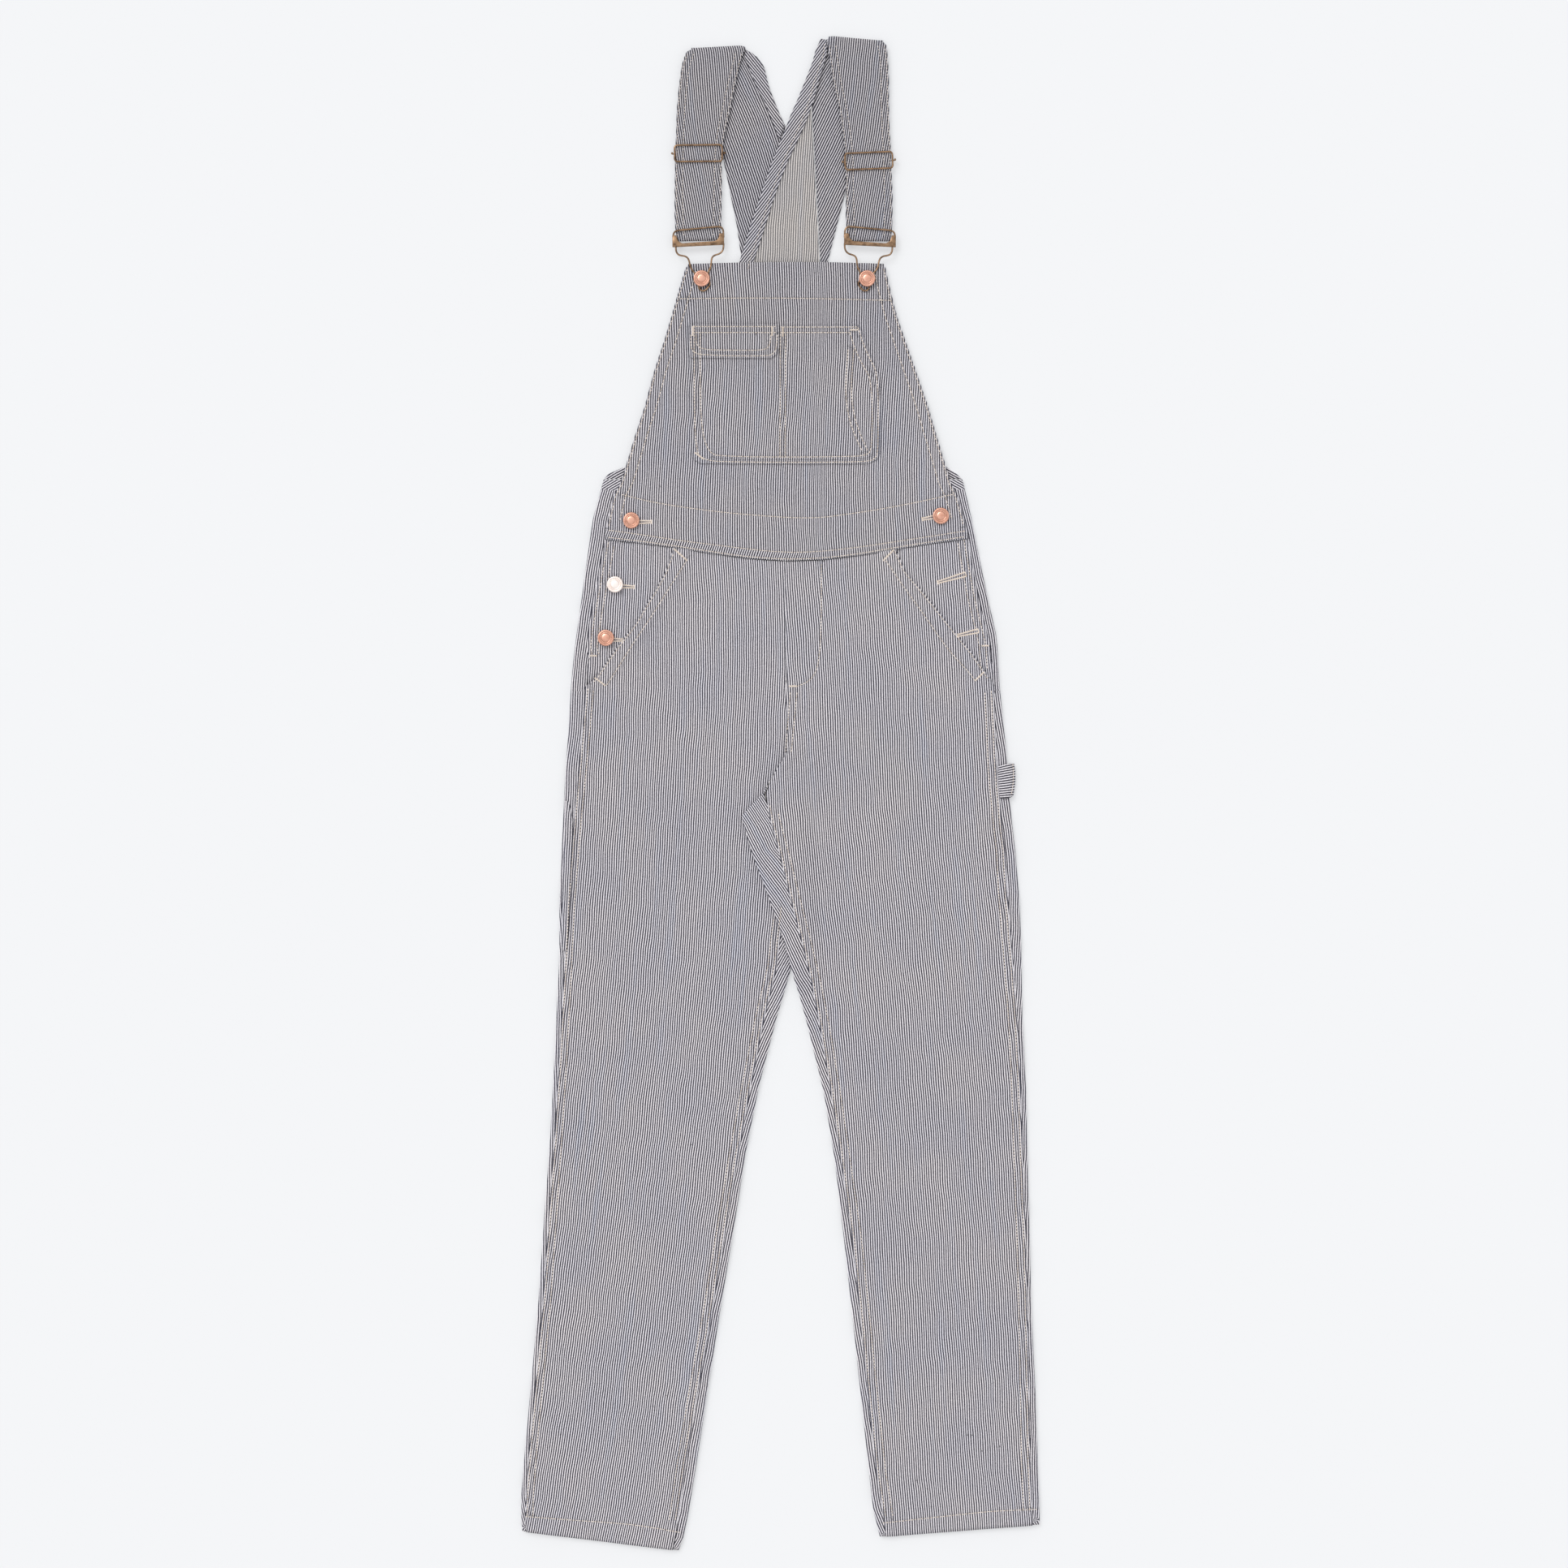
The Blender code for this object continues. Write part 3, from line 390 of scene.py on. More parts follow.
SEAM_ROWS = seam_rows()
SEAM_TREE = KDTree(len(SEAM_ROWS))
for row_number, (seam_x, seam_y) in enumerate(SEAM_ROWS[:, :2]):
    SEAM_TREE.insert((seam_x, seam_y, 0), row_number)
SEAM_TREE.balance()


def seam_places(points):
    """(signed distance across, distance along) of each point from its nearest seam, seen from above."""
    nearest = np.array([SEAM_TREE.find((x, y, 0))[1] for x, y in points[:, :2]], dtype=np.int64)
    row = SEAM_ROWS[nearest]
    away = points[:, :2] - row[:, :2]
    across = row[:, 2] * away[:, 1] - row[:, 3] * away[:, 0]
    forward = row[:, 2] * away[:, 0] + row[:, 3] * away[:, 1]
    past = np.maximum(np.abs(forward) - SEAM_STEP, 0)
    return np.copysign(np.hypot(across, past), across), row[:, 4] + forward


# ---------------------------------------------------------------- shader nodes


class Wires:
    """Short ways to add and join shader nodes in one tree."""

    def __init__(self, tree):
        self.tree = tree

    def put(self, socket, value):
        if isinstance(value, bpy.types.NodeSocket):
            self.tree.links.new(value, socket)
        elif isinstance(value, tuple) and socket.type == "RGBA":
            socket.default_value = (*value, 1)
        else:
            socket.default_value = value

    def fill(self, sockets, values):
        for name, value in dict(values).items():
            self.put(sockets[name], value)

    def node(self, kind, inputs=(), **settings):
        """The outputs of a new node, with its settings and with its inputs by name or number."""
        node = self.tree.nodes.new("ShaderNode" + kind)
        for name, setting in settings.items():
            setattr(node, name, setting)
        self.fill(node.inputs, inputs)
        return node.outputs

    def math(self, operation, *values, clamp=False):
        return self.node("Math", enumerate(values), operation=operation, use_clamp=clamp)[0]

    def times(self, first, second):
        return self.math("MULTIPLY", first, second)

    def plus(self, first, second, clamp=False):
        return self.math("ADD", first, second, clamp=clamp)

    def minus(self, first, second):
        return self.math("SUBTRACT", first, second)

    def apart(self, first, second):
        """How far two values are from each other."""
        return self.math("ABSOLUTE", self.minus(first, second))

    def swing(self, value):
        """From 0 up to 1 and back again, once for each whole step of the value."""
        return self.times(self.math("PINGPONG", value, 0.5), 2)

    def range(self, value, start, end, low=0.0, high=1.0):
        values = enumerate((value, start, end, low, high))
        return self.node("MapRange", values, interpolation_type="SMOOTHSTEP")[0]

    def mix(self, share, first, second, how="MIX"):
        # A mix node's colours are its seventh and eighth inputs, and its colour output is the third.
        return self.node("Mix", {0: share, 6: first, 7: second}, data_type="RGBA", blend_type=how)[2]

    def noise(self, place, scale, detail=2.0, roughness=0.5):
        inputs = {"Vector": place, "Scale": scale, "Detail": detail, "Roughness": roughness}
        return self.node("TexNoise", inputs)["Fac"]

    def unevenness(self, place, scale, detail, roughness=0.5):
        """Noise about zero."""
        return self.minus(self.noise(place, scale, detail, roughness), 0.5)

    def stretch(self, grain, share):
        """The grain with its length scaled, so that noise in it runs along the yarns."""
        return self.node("VectorMath", {0: grain, 1: (1, share, 1)}, operation="MULTIPLY")[0]

    def parts(self, vector):
        return self.node("SeparateXYZ", {0: vector})

    def object_place(self):
        return self.node("TexCoord")["Object"]

    def uv(self, name):
        return self.parts(self.node("UVMap", uv_map=name)[0])[0:2]

    def attribute(self, name):
        return self.node("Attribute", attribute_name=name)["Fac"]

    def bump(self, height, distance, strength, under=None):
        inputs = {"Strength": strength, "Distance": distance, "Height": height}
        if under is not None:
            inputs["Normal"] = under
        return self.node("Bump", inputs)[0]


def shader_group(name, inputs, outputs):
    """A named node group: the group, its wires, what comes into it and what goes out of it."""
    group = bpy.data.node_groups.new(name, "ShaderNodeTree")
    for direction, sockets in (("INPUT", inputs), ("OUTPUT", outputs)):
        for socket_name, kind in sockets.items():
            group.interface.new_socket(socket_name, in_out=direction, socket_type="NodeSocket" + kind)
    start = group.nodes.new("NodeGroupInput")
    end = group.nodes.new("NodeGroupOutput")
    return group, Wires(group), start.outputs, end.inputs


def seam_marks(w, seam):
    """Painted shade in the needle holes as a mask, and the cloth pulled down between them as a height,
    beside a seam.
    """
    across, travelled, near = w.parts(seam)[0:3]
    off = w.math("ABSOLUTE", across)
    phase = w.math("FRACT", w.math("DIVIDE", travelled, STITCH_PITCH))
    from_middle = w.apart(phase, 0.5)
    hole_shade = w.times(w.range(from_middle, 0.36, 0.5), w.range(off, 0.95 * MM, 0.25 * MM))
    groove = w.range(off, 1.5 * MM, 0.3 * MM)
    lifted = w.times(w.range(from_middle, 0.1, 0.45), 0.5)
    beside = w.times(w.range(off, 3.2 * MM, 0.8 * MM), lifted)
    pulled = w.times(w.plus(groove, beside), -1)
    return w.times(hole_shade, near), w.times(pulled, near)


def striped_group():
    """Yarn-dyed stripes of twill, with painted sheen and shade of soft wrinkles and painted shade in needle
    holes: colour and height from the cloth's own grain.
    """
    group, w, start, end = shader_group(
        "Striped twill",
        {"Grain": "Vector", "Place": "Vector", "Seam": "Vector", "Wear": "Float", "Shade": "Float",
         "Contrast": "Float", "Dark": "Color", "Light": "Color"},
        {"Color": "Color", "Height": "Float", "Pull": "Float", "Roughness": "Float"},
    )
    grain = start["Grain"]
    u, v = w.parts(grain)[0:2]
    across = w.plus(w.math("DIVIDE", u, STRIPE), w.times(w.unevenness(grain, 22, 1), 1.35))
    across = w.plus(across, w.times(w.unevenness(w.stretch(grain, 0.4), 110, 1), 0.42))
    ragged = w.times(w.unevenness(w.stretch(grain, 0.45), 1500, 3, 0.6), 0.5)
    stripe = w.range(w.plus(w.swing(across), ragged), 0.49, 0.69)
    # One warp yarn is a sixth of a stripe pair; the weft shows on a slant every third yarn.
    warp = w.times(across, 6)
    pick = w.math("DIVIDE", v, STRIPE / 5)
    slant = w.math("FRACT", w.math("DIVIDE", w.plus(w.math("FLOOR", warp), pick), 3))
    weft = w.range(w.apart(slant, 0.5), 0.34, 0.46)
    slub = w.noise(w.stretch(grain, 0.02), 2600, 1)
    # Painted sheen and shade of soft wrinkles: bluish, low-contrast streaks along the yarns.
    wrinkle_sheen = w.noise(w.stretch(grain, 0.05), 90, 3, 0.6)
    cloud = w.noise(start["Place"], 14, 3, 0.55)
    dark = w.mix(w.range(slub, 0.35, 0.75, 0, 0.3), start["Dark"], (0.07, 0.068, 0.08))
    dark = w.mix(w.times(weft, 0.10), dark, start["Light"])
    light = w.mix(w.range(slub, 0.35, 0.8, 0, 0.12), start["Light"], (0.60, 0.60, 0.62))
    # The wrinkles' painted sheen and the cloth's real wear together fade the dark stripes.
    wear_and_wrinkle_sheen = w.plus(w.range(wrinkle_sheen, 0.5, 0.78, 0, 0.2), w.times(start["Wear"], 0.4), clamp=True)
    dark = w.mix(wear_and_wrinkle_sheen, dark, (0.15, 0.17, 0.24))
    light = w.mix(w.range(wrinkle_sheen, 0.52, 0.78, 0, 0.35), light, (0.62, 0.68, 0.80))
    colour = w.mix(start["Contrast"], w.mix(0.5, dark, light), w.mix(stripe, dark, light))
    soft = w.mix(w.range(cloud, 0.3, 0.7), (0.925, 0.935, 0.965), (1.0, 0.99, 0.98))
    tone = w.node("CombineColor", enumerate([start["Shade"]] * 3))[0]
    colour = w.mix(1.0, colour, w.mix(1.0, soft, tone, "MULTIPLY"), "MULTIPLY")
    hole_shade, pulled = seam_marks(w, start["Seam"])
    # Painted shade: the cloth darkened in its needle holes beside a seam.
    w.put(end["Color"], w.mix(w.times(hole_shade, 0.45), colour, (0.02, 0.018, 0.024)))
    w.put(end["Height"], w.minus(w.swing(warp), w.times(weft, 0.55)))
    w.put(end["Pull"], pulled)
    w.put(end["Roughness"], w.range(cloud, 0.2, 0.8, 0.86, 0.95))
    return group


def patina_group():
    """Metal that has darkened unevenly: colour and roughness."""
    group, w, start, end = shader_group(
        "Metal patina",
        {"Place": "Vector", "Bright": "Color", "Dull": "Color", "Amount": "Float"},
        {"Color": "Color", "Roughness": "Float", "Height": "Float"},
    )
    patches = w.noise(start["Place"], 240, 4, 0.6)
    grit = w.noise(start["Place"], 2400, 3, 0.6)
    share = w.times(w.range(patches, 0.35, 0.7), start["Amount"])
    share = w.plus(share, w.range(grit, 0.55, 0.8, 0, 0.18), clamp=True)
    w.put(end["Color"], w.mix(share, start["Bright"], start["Dull"]))
    w.put(end["Roughness"], w.range(patches, 0.3, 0.7, 0.28, 0.46))
    w.put(end["Height"], grit)
    return group


STRIPED_TWILL = striped_group()
METAL_PATINA = patina_group()

# ---------------------------------------------------------------- materials


def new_material(name, settings):
    """A new material, its wires and the inputs of its shader."""
    material = bpy.data.materials.new(name)
    material.use_nodes = True
    w = Wires(material.node_tree)
    shader = material.node_tree.nodes["Principled BSDF"].inputs
    w.fill(shader, settings)
    return material, w, shader


def striped_cloth(name, contrast, dark, light):
    material, w, shader = new_material(
        name, {"Specular IOR Level": 0.16, "Sheen Weight": 0.12, "Sheen Roughness": 0.6}
    )
    seam = [w.attribute(mark) for mark in ("seam_across", "seam_along", "seam_near")]
    twill = w.node(
        "Group",
        {
            "Grain": w.node("UVMap", uv_map="grain")[0],
            "Place": w.object_place(),
            "Seam": w.node("CombineXYZ", enumerate(seam))[0],
            "Wear": w.attribute("wear"),
            "Shade": w.attribute("shade"),
            "Contrast": w.times(w.attribute("contrast"), contrast),
            "Dark": dark,
            "Light": light,
        },
        node_tree=STRIPED_TWILL,
    )
    woven = w.bump(twill["Height"], 0.12 * MM, 0.8)
    w.put(shader["Base Color"], twill["Color"])
    w.put(shader["Roughness"], twill["Roughness"])
    w.put(shader["Normal"], w.bump(twill["Pull"], 0.35 * MM, 1.0, woven))
    return material


def thread(name, colour):
    """Twisted sewing thread, read from its own map: u round it, v along it."""
    material, w, shader = new_material(name, {"Roughness": 0.72, "Specular IOR Level": 0.25})
    u, v = w.uv("twist")
    ply = w.math("PINGPONG", w.plus(w.times(v, 3), w.times(u, 2)), 0.5)
    tone = w.range(w.noise(w.object_place(), 900), 0.3, 0.7, 0, 0.3)
    deep = tuple(0.66 * value for value in colour)
    w.put(shader["Base Color"], w.mix(tone, colour, deep))
    w.put(shader["Normal"], w.bump(ply, 0.12 * MM, 0.8))
    return material


def patinated(name, bright, dull, amount):
    """A metal with its patina: the material, its wires, its shader's inputs and the patina's outputs."""
    material, w, shader = new_material(name, {"Metallic": 1.0})
    inputs = {"Place": w.object_place(), "Bright": bright, "Dull": dull, "Amount": amount}
    patina = w.node("Group", inputs, node_tree=METAL_PATINA)
    w.put(shader["Roughness"], patina["Roughness"])
    return material, w, shader, patina


def old_brass():
    material, w, shader, patina = patinated("Old brass", (0.34, 0.215, 0.13), (0.10, 0.062, 0.04), 0.85)
    w.put(shader["Base Color"], patina["Color"])
    w.put(shader["Normal"], w.bump(patina["Height"], 0.02 * MM, 0.6))
    return material


MILLED_TEETH = 44


def pressed_metal(name, bright, dull, groove, amount):
    """Button metal: the same patina, with a milled ring, and painted shade in the grooves, between the
    milled teeth and round the rim's side, read from its own map.

    The map holds the turn round the head and the distance from its middle in millimetres."""
    material, w, shader, patina = patinated(name, bright, dull, amount)
    turn, radius = w.uv("face")
    ring = w.times(w.range(radius, 4.85, 5.0), w.range(radius, 7.1, 6.9))
    milled = w.times(w.range(w.swing(w.times(turn, MILLED_TEETH)), 0.25, 0.6), ring)
    outer_groove = w.range(w.apart(radius, 5.88), 0.42, 0.1)
    inner_groove = w.range(w.apart(radius, 4.22), 0.5, 0.1)
    # Painted shade: the two grooves, the gaps between the milled teeth and the rim's side darkened towards
    # the groove colour.
    low = w.math("MAXIMUM", w.math("MAXIMUM", outer_groove, inner_groove), w.times(milled, 0.55))
    low = w.math("MAXIMUM", low, w.times(w.range(radius, 7.5, 8.1), 0.5))
    w.put(shader["Base Color"], w.mix(w.times(low, 0.75), patina["Color"], groove))
    grit = w.bump(patina["Height"], 0.03 * MM, 0.7)
    w.put(shader["Normal"], w.bump(w.times(milled, -1), 0.12 * MM, 0.8, grit))
    return material


DENIM = striped_cloth("Striped denim", 1.0, dark=(0.028, 0.025, 0.040), light=(0.85, 0.82, 0.85))
DENIM_INSIDE = striped_cloth("Denim inside", 0.95, dark=(0.135, 0.13, 0.135), light=(0.74, 0.695, 0.665))
THREAD = thread("Sewing thread", (0.80, 0.70, 0.61))
# Dark thread that stands for the shade inside the buttonhole openings: painted shade.
SLIT_SHADE = thread("Buttonhole slit shade", (0.26, 0.24, 0.27))
BRASS = old_brass()
# Each button metal's third colour is the painted shade in its grooves and round its rim.
COPPER = pressed_metal("Copper", (0.80, 0.45, 0.34), (0.56, 0.27, 0.19), (0.30, 0.13, 0.085), 0.7)
# A pale, pinkish copy of the copper: painted glare for the one button that catches the light.
GLARE_COPPER = pressed_metal("Copper with painted glare", (1.0, 0.93, 0.89), (0.9, 0.72, 0.64), (0.72, 0.52, 0.44), 0.4)

# ---------------------------------------------------------------- the cloth's own grain

# Heights in metres: where the hip strips and the waist's corners begin, and where the inner folds end.
HIP_STRIP_FROM = 0.100
CORNER_FROM = 0.2985
CROTCH_TIP = -0.178
CROTCH_CORNER = -0.032
# Past its end, a fold line goes on with the slope that it has this far below.
SLOPE_FROM_BELOW = 0.03
BACK_BIB_CORNER = 0.345
BACK_BIB_CORNER_BESIDE = 0.135
BACK_BIB_LEAN = 3.4
# The felled waist seam pulls the bib's stripes aslant, which ends between these two places across.
FELL_SLANT = 0.36
FELL_SLANT_ENDS = (0.048, 0.022)
LOOP_RISE = 4.2 * MM
# The part of a strap that lies lower than this runs behind.
STRAP_BACK_UNDER = 2.3 * MM


def curved(line, x):
    """Where a drawn line runs at x."""
    line_x, line_y = np.array(line).T * MM
    return np.interp(x, line_x, line_y)


def either(chosen, first, second):
    """The first (u, v) where a point is chosen, and the second elsewhere."""
    return tuple(np.where(chosen, one, other) for one, other in zip(first, second))


def turned(x, y, degrees):
    """The place in cloth that lies turned by this much."""
    turn = np.radians(degrees)
    return x * np.cos(turn) - y * np.sin(turn), x * np.sin(turn) + y * np.cos(turn)


def mirrored(x, y, line, slope):
    """The point's mirror image about a fold line."""
    across = (x - line) / (1 + slope**2)
    return x - 2 * across, y + 2 * slope * across


def corner_grain(x, y):
    """The facing at the waist's outer corners, whose stripes run nearly across."""
    return turned(x, y, np.where(x < 0, 60, -60))


def leg_grain(x, y, lean):
    return x - lean_offset(lean, y), y


def leaning_grain(x, y, lean):
    """The same for stripes that lean far over, with about their true width."""
    typical = math.radians(sum(row.degrees for row in lean) / len(lean))
    return (x - lean_offset(lean, y)) * math.cos(typical), y


def loop_shares(x, y):
    """How far across and how far up the hammer loop a point is, from 0 to 1."""
    low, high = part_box("hammer_loop")
    return (x - low[0]) / (high[0] - low[0]), np.clip((y - low[1]) / (high[1] - low[1]), 0, 1)


def back_leg_map(name, lean):
    """A leg's lower layer, whose stripes go on over the folds to the strips of it that lie on top."""
    sides = SIDES[name]
    outer, inner, fold_top = "left", "right", CROTCH_TIP
    if name.endswith("_l"):
        outer, inner, fold_top = "right", "left", CROTCH_CORNER

    def mapping(x, y, middle):
        lift = crotch_lift(middle) if name.endswith("_l") else 0
        over = middle[:, 2] - lift > FOLD_MIDDLE
        past = np.maximum(y - fold_top, 0)
        outer_line = sides.at(outer, y)
        inner_line = sides.at(inner, y - past) + past * sides.slope(inner, fold_top - SLOPE_FROM_BELOW)
        by_inner = np.abs(middle[:, 0] - inner_line) < np.abs(middle[:, 0] - outer_line)
        line = np.where(by_inner, inner_line, outer_line)
        slope = np.where(by_inner, sides.slope(inner, y - past), sides.slope(outer, y - past))
        u, v = leg_grain(*either(over, mirrored(x, y, line, slope), (x, y)), lean)
        u = np.where(over & (middle[:, 1] > HIP_STRIP_FROM), x - outer_line, u)
        return either(over & (middle[:, 1] > CORNER_FROM), corner_grain(x, y), (u, v))

    return mapping


def back_bib_map(x, y, middle):
    corner = (middle[:, 1] < BACK_BIB_CORNER) & (np.abs(middle[:, 0]) > BACK_BIB_CORNER_BESIDE)
    return either(corner, corner_grain(x, y), turned(x, y, BACK_BIB_LEAN))


def bib_map(x, y, middle):
    """The bib's stripes, which the felled seam at the waist pulls aslant."""
    band = np.clip(y - curved(FELL_LOWER, x), 0, curved(FELL_UPPER, x) - curved(FELL_LOWER, x))
    return x - bib_offset(x, y) - FELL_SLANT * band * blend(x, *FELL_SLANT_ENDS), y


def lean_map(lean):
    """Stripes that lean as a table says."""
    return lambda x, y, middle: leg_grain(x, y, lean)


def tilted_map(degrees):
    """Straight stripes that lean by this much."""
    return lambda x, y, middle: turned(x, y, degrees)


def strap_map(front, back):
    """Stripes along a strap: its own lean in front, and another where it runs behind."""
    return lambda x, y, middle: either(
        middle[:, 2] < STRAP_BACK_UNDER, leaning_grain(x, y, back), leg_grain(x, y, front)
    )


def level_map(x, y, middle):
    """Stripes that run across, as on the hammer loop, and rise with its turn."""
    aside, up = loop_shares(x, y)
    return y - LOOP_RISE * np.clip(aside, 0, 1) * up, x


GRAIN = {
    "back_leg_r": back_leg_map("back_leg_r", BACK_R_LEAN),
    "back_leg_l": back_leg_map("back_leg_l", LEG_L_LEAN),
    "front_leg_r": lean_map(LEG_R_LEAN),
    "front_leg_l": lean_map(LEG_L_LEAN),
    "hip_facing_r": tilted_map(2),
    "hip_facing_l": tilted_map(-4),
    "back_bib": back_bib_map,
    "neck_band_r": tilted_map(-38),
    "neck_band_l": tilted_map(38),
    "strap_r": strap_map(STRAP_R_LEAN, STRAP_R_BACK_LEAN),
    "strap_l": strap_map(STRAP_L_LEAN, STRAP_L_BACK_LEAN),
    "hammer_loop": level_map,
    "tool_pocket": tilted_map(3),
}
GRAIN.update({name: bib_map for name in BIB_PIECES})

# ---------------------------------------------------------------- how the cloth is shaped

# Above this level, the top of a leg is shown.
LEG_SHOWN_FROM = 2.9 * MM
# The longest edges of the cloth's triangles: underneath, on top and within a band beside a seam.
COARSE_EDGE = 14.0 * MM
FINE_EDGE = 4.6 * MM
SEAM_EDGE = 1.8 * MM
SEAM_BAND = 3.2 * MM
# Panel sides drawn out so that they meet the next panel in a closed seam. In millimetres.
JOININGS = table(
    "node side shift top bottom",
    ("front_leg_r", "left", -0.24, 101, -800),
    ("front_leg_r", "right", 0.95, 330, 108),
    ("front_leg_r", "right", 0.24, -112, -800),
    ("front_leg_l", "right", 0.24, 101, -800),
    ("front_leg_l", "left", -0.24, -14, -800),
    ("front_leg_l", "left", -1.3, 330, 36),
    ("front_leg_r", "left", -1.5, 112, 99),
    ("front_leg_l", "right", 1.5, 112, 99),
    ("hip_facing_r", "left", -1.5, 129, 90),
    ("hip_facing_l", "right", 1.5, 129, 90),
)
WAIST_JOINING = -0.34 * MM
NECK_BAND_SPREAD = 1.22
# The soft, round turns of the straps over the shoulders, as small shifts about a place. In millimetres.
SHOULDER_PUSHES = table(
    "x y aside up reach",
    (-30.7, 736.3, -0.3, -2.9, 5.5), (-20, 715, 2.8, 1.4, 11), (-92, 731.5, -0.9, 1.1, 4.5),
    (46.2, 744.5, 1.3, -1.4, 3.2), (40.8, 741, -1.2, 1.9, 4.5), (36, 732, -1.3, 0.9, 9),
    (103.5, 737.5, 0.6, 0.7, 5),
)
# Where the cloth rises over a seam allowance or a hem, counted from a panel's side or up its height.
OUTER_ALLOWANCE = (0.0095, 0.0075)
INNER_ALLOWANCE = (0.0105, 0.0085)
ALLOWANCE_TOP = (0.112, 0.100)
POCKET_FACING = (0.016, 0.0145)
POCKET_FACING_FOOT = (0.108, 0.116)
BIB_SIDE_HEM = (0.0135, 0.012)
BIB_TOP_HEM = (0.485, 0.4865)
# The middle of the patch below the fly where the stripes fan about a soft fold, painted with lower contrast
# and a slight shade, from its foot up, as (y, x) in millimetres, and its size.
FOLD_SHADE_PATCH = [(-80, 44), (-58, 41), (-8, 29.5), (60, 24)]
FOLD_SHADE_WIDTH, FOLD_SHADE_HEIGHT = 0.0115, 0.072
FOLD_SHADE_CENTRE = -0.008
# How dark the cloth of some pieces is, beside 1 for the legs.
STRAP_SHADE = 0.77
NECK_BAND_SHADE = 0.85
BIB_SHADE = 0.93
# The pocket openings, where the hip facing is tucked behind the front leg.
OPENING_X, OPENING_Y = 0.192, 0.112
OPENING_REACH = 0.016
# The tuck begins between these heights, and carries the cloth down and behind by this much.
TUCK_BELOW = (0.121, 0.1185)
TUCK_DOWN, TUCK_BEHIND = 10.5 * MM, 0.9 * MM
# How far over a point another layer is looked for: from just above it to over the whole garment.
JUST_ABOVE = 0.04 * MM
OVER_ALL = 0.02
CAD_TREE = tree_of([node.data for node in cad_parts.values()])


def edge_limit(edge, from_level):
    """The length above which an edge is cut."""
    middle = (edge.verts[0].co + edge.verts[1].co) / 2
    if middle.z <= from_level or max(face.normal.z for face in edge.link_faces) <= UP_FACING:
        return COARSE_EDGE
    return SEAM_EDGE if SEAM_TREE.find((middle.x, middle.y, 0))[2] < SEAM_BAND else FINE_EDGE


def refine(mesh, from_level):
    """Cuts long edges, finer on the shown upper side above from_level and finest beside a seam."""
    bm = bmesh.new()
    bm.from_mesh(mesh)
    bmesh.ops.remove_doubles(bm, verts=bm.verts, dist=1e-6)
    bmesh.ops.recalc_face_normals(bm, faces=bm.faces)
    for _ in range(9):
        bm.normal_update()
        long_edges = []
        for edge in bm.edges:
            length = edge.calc_length()
            if length > SEAM_EDGE and length > edge_limit(edge, from_level):
                long_edges.append(edge)
        if not long_edges:
            break
        bmesh.ops.subdivide_edges(bm, edges=long_edges, cuts=1)
        bmesh.ops.triangulate(bm, faces=[face for face in bm.faces if len(face.verts) > 3])
    bm.to_mesh(mesh)
    bm.free()


def relief(name, x, y):
    """Height added to the upper side by seam allowances, hems and the cloth's own softness, in metres."""
    height = 0.10 * MM * np.sin(x / 0.017 + y / 0.041 + 0.6) * np.sin(x / 0.043 - y / 0.023)
    from_left, from_right = SIDES[name].from_each(x, y)
    if name.startswith("front_leg"):
        hem, from_outer, from_inner = HEM_R, from_left, from_right
        if name.endswith("_l"):
            hem, from_outer, from_inner = HEM_L, from_right, from_left
        line = curved(hem, x)
        roping = np.sin((x + 0.8 * y) / 0.0021) * blend(np.abs(y - line + 0.008), 0.009, 0.004)
        height += blend(y, line + 0.5 * MM, line - 1.5 * MM) * (0.45 * MM + 0.16 * MM * roping)
        seam = np.maximum(blend(from_outer, *OUTER_ALLOWANCE), blend(from_inner, *INNER_ALLOWANCE))
        height += 0.35 * MM * seam * blend(y, *ALLOWANCE_TOP)
        height += 0.3 * MM * blend(from_outer, *POCKET_FACING) * blend(y, *POCKET_FACING_FOOT)
    if name == "bib_front":
        side_hem = blend(np.minimum(from_left, from_right), *BIB_SIDE_HEM)
        height += 0.35 * MM * side_hem
        height += 0.3 * MM * blend(y, *BIB_TOP_HEM) * (1 - side_hem)
        for seam in (UPPER_WAIST, FELL_UPPER):
            line = curved(seam, x)
            height += 0.25 * MM * blend(y, line + 1 * MM, line - 1 * MM)
    if name in ("bib_pocket", "bib_pocket_flap"):
        height += 0.12 * MM * np.sin(x / 0.006) * np.sin(y / 0.011)
    return height


def puckers(across, travelled):
    """Ripples that the thread pulls into the cloth beside a seam, in metres."""
    near = np.abs(across)
    phase = travelled / 0.0017 + 2.2 * np.sin(travelled / 0.019)
    groove = -0.14 * MM * blend(near, 1.6 * MM, 0.2 * MM)
    return groove + 0.13 * MM * np.sin(phase) * blend(near, 6 * MM, 1.5 * MM)


def exposed(points, normals):
    """1 where nothing lies over the point, and 0 where another layer does."""
    shown = np.zeros(len(points))
    for number in np.flatnonzero(normals[:, 2] > UP_FACING):
        start = Vector(points[number]) + UP * JUST_ABOVE
        shown[number] = CAD_TREE.ray_cast(start, UP, OVER_ALL)[0] is None
    return shown


def join_panels(name, points, moved):
    """Draws the rim of a panel out to its neighbour."""
    x, y = points[:, :2].T
    for joining in JOININGS:
        if joining.node == name:
            away = np.abs(x - SIDES[name].at(joining.side, y))
            between = blend(y, (joining.top + 2) * MM, (joining.top - 2) * MM)
            between *= blend(y, (joining.bottom - 2) * MM, (joining.bottom + 2) * MM)
            moved[:, 0] += joining.shift * MM * between * blend(away, 1.6 * MM, 0.3 * MM)
    if name == "bib_front":
        edge = curved(FELL_LOWER, x) - 1.2 * MM
        moved[:, 1] += WAIST_JOINING * blend(np.abs(y - edge), 1.4 * MM, 0.8 * MM)


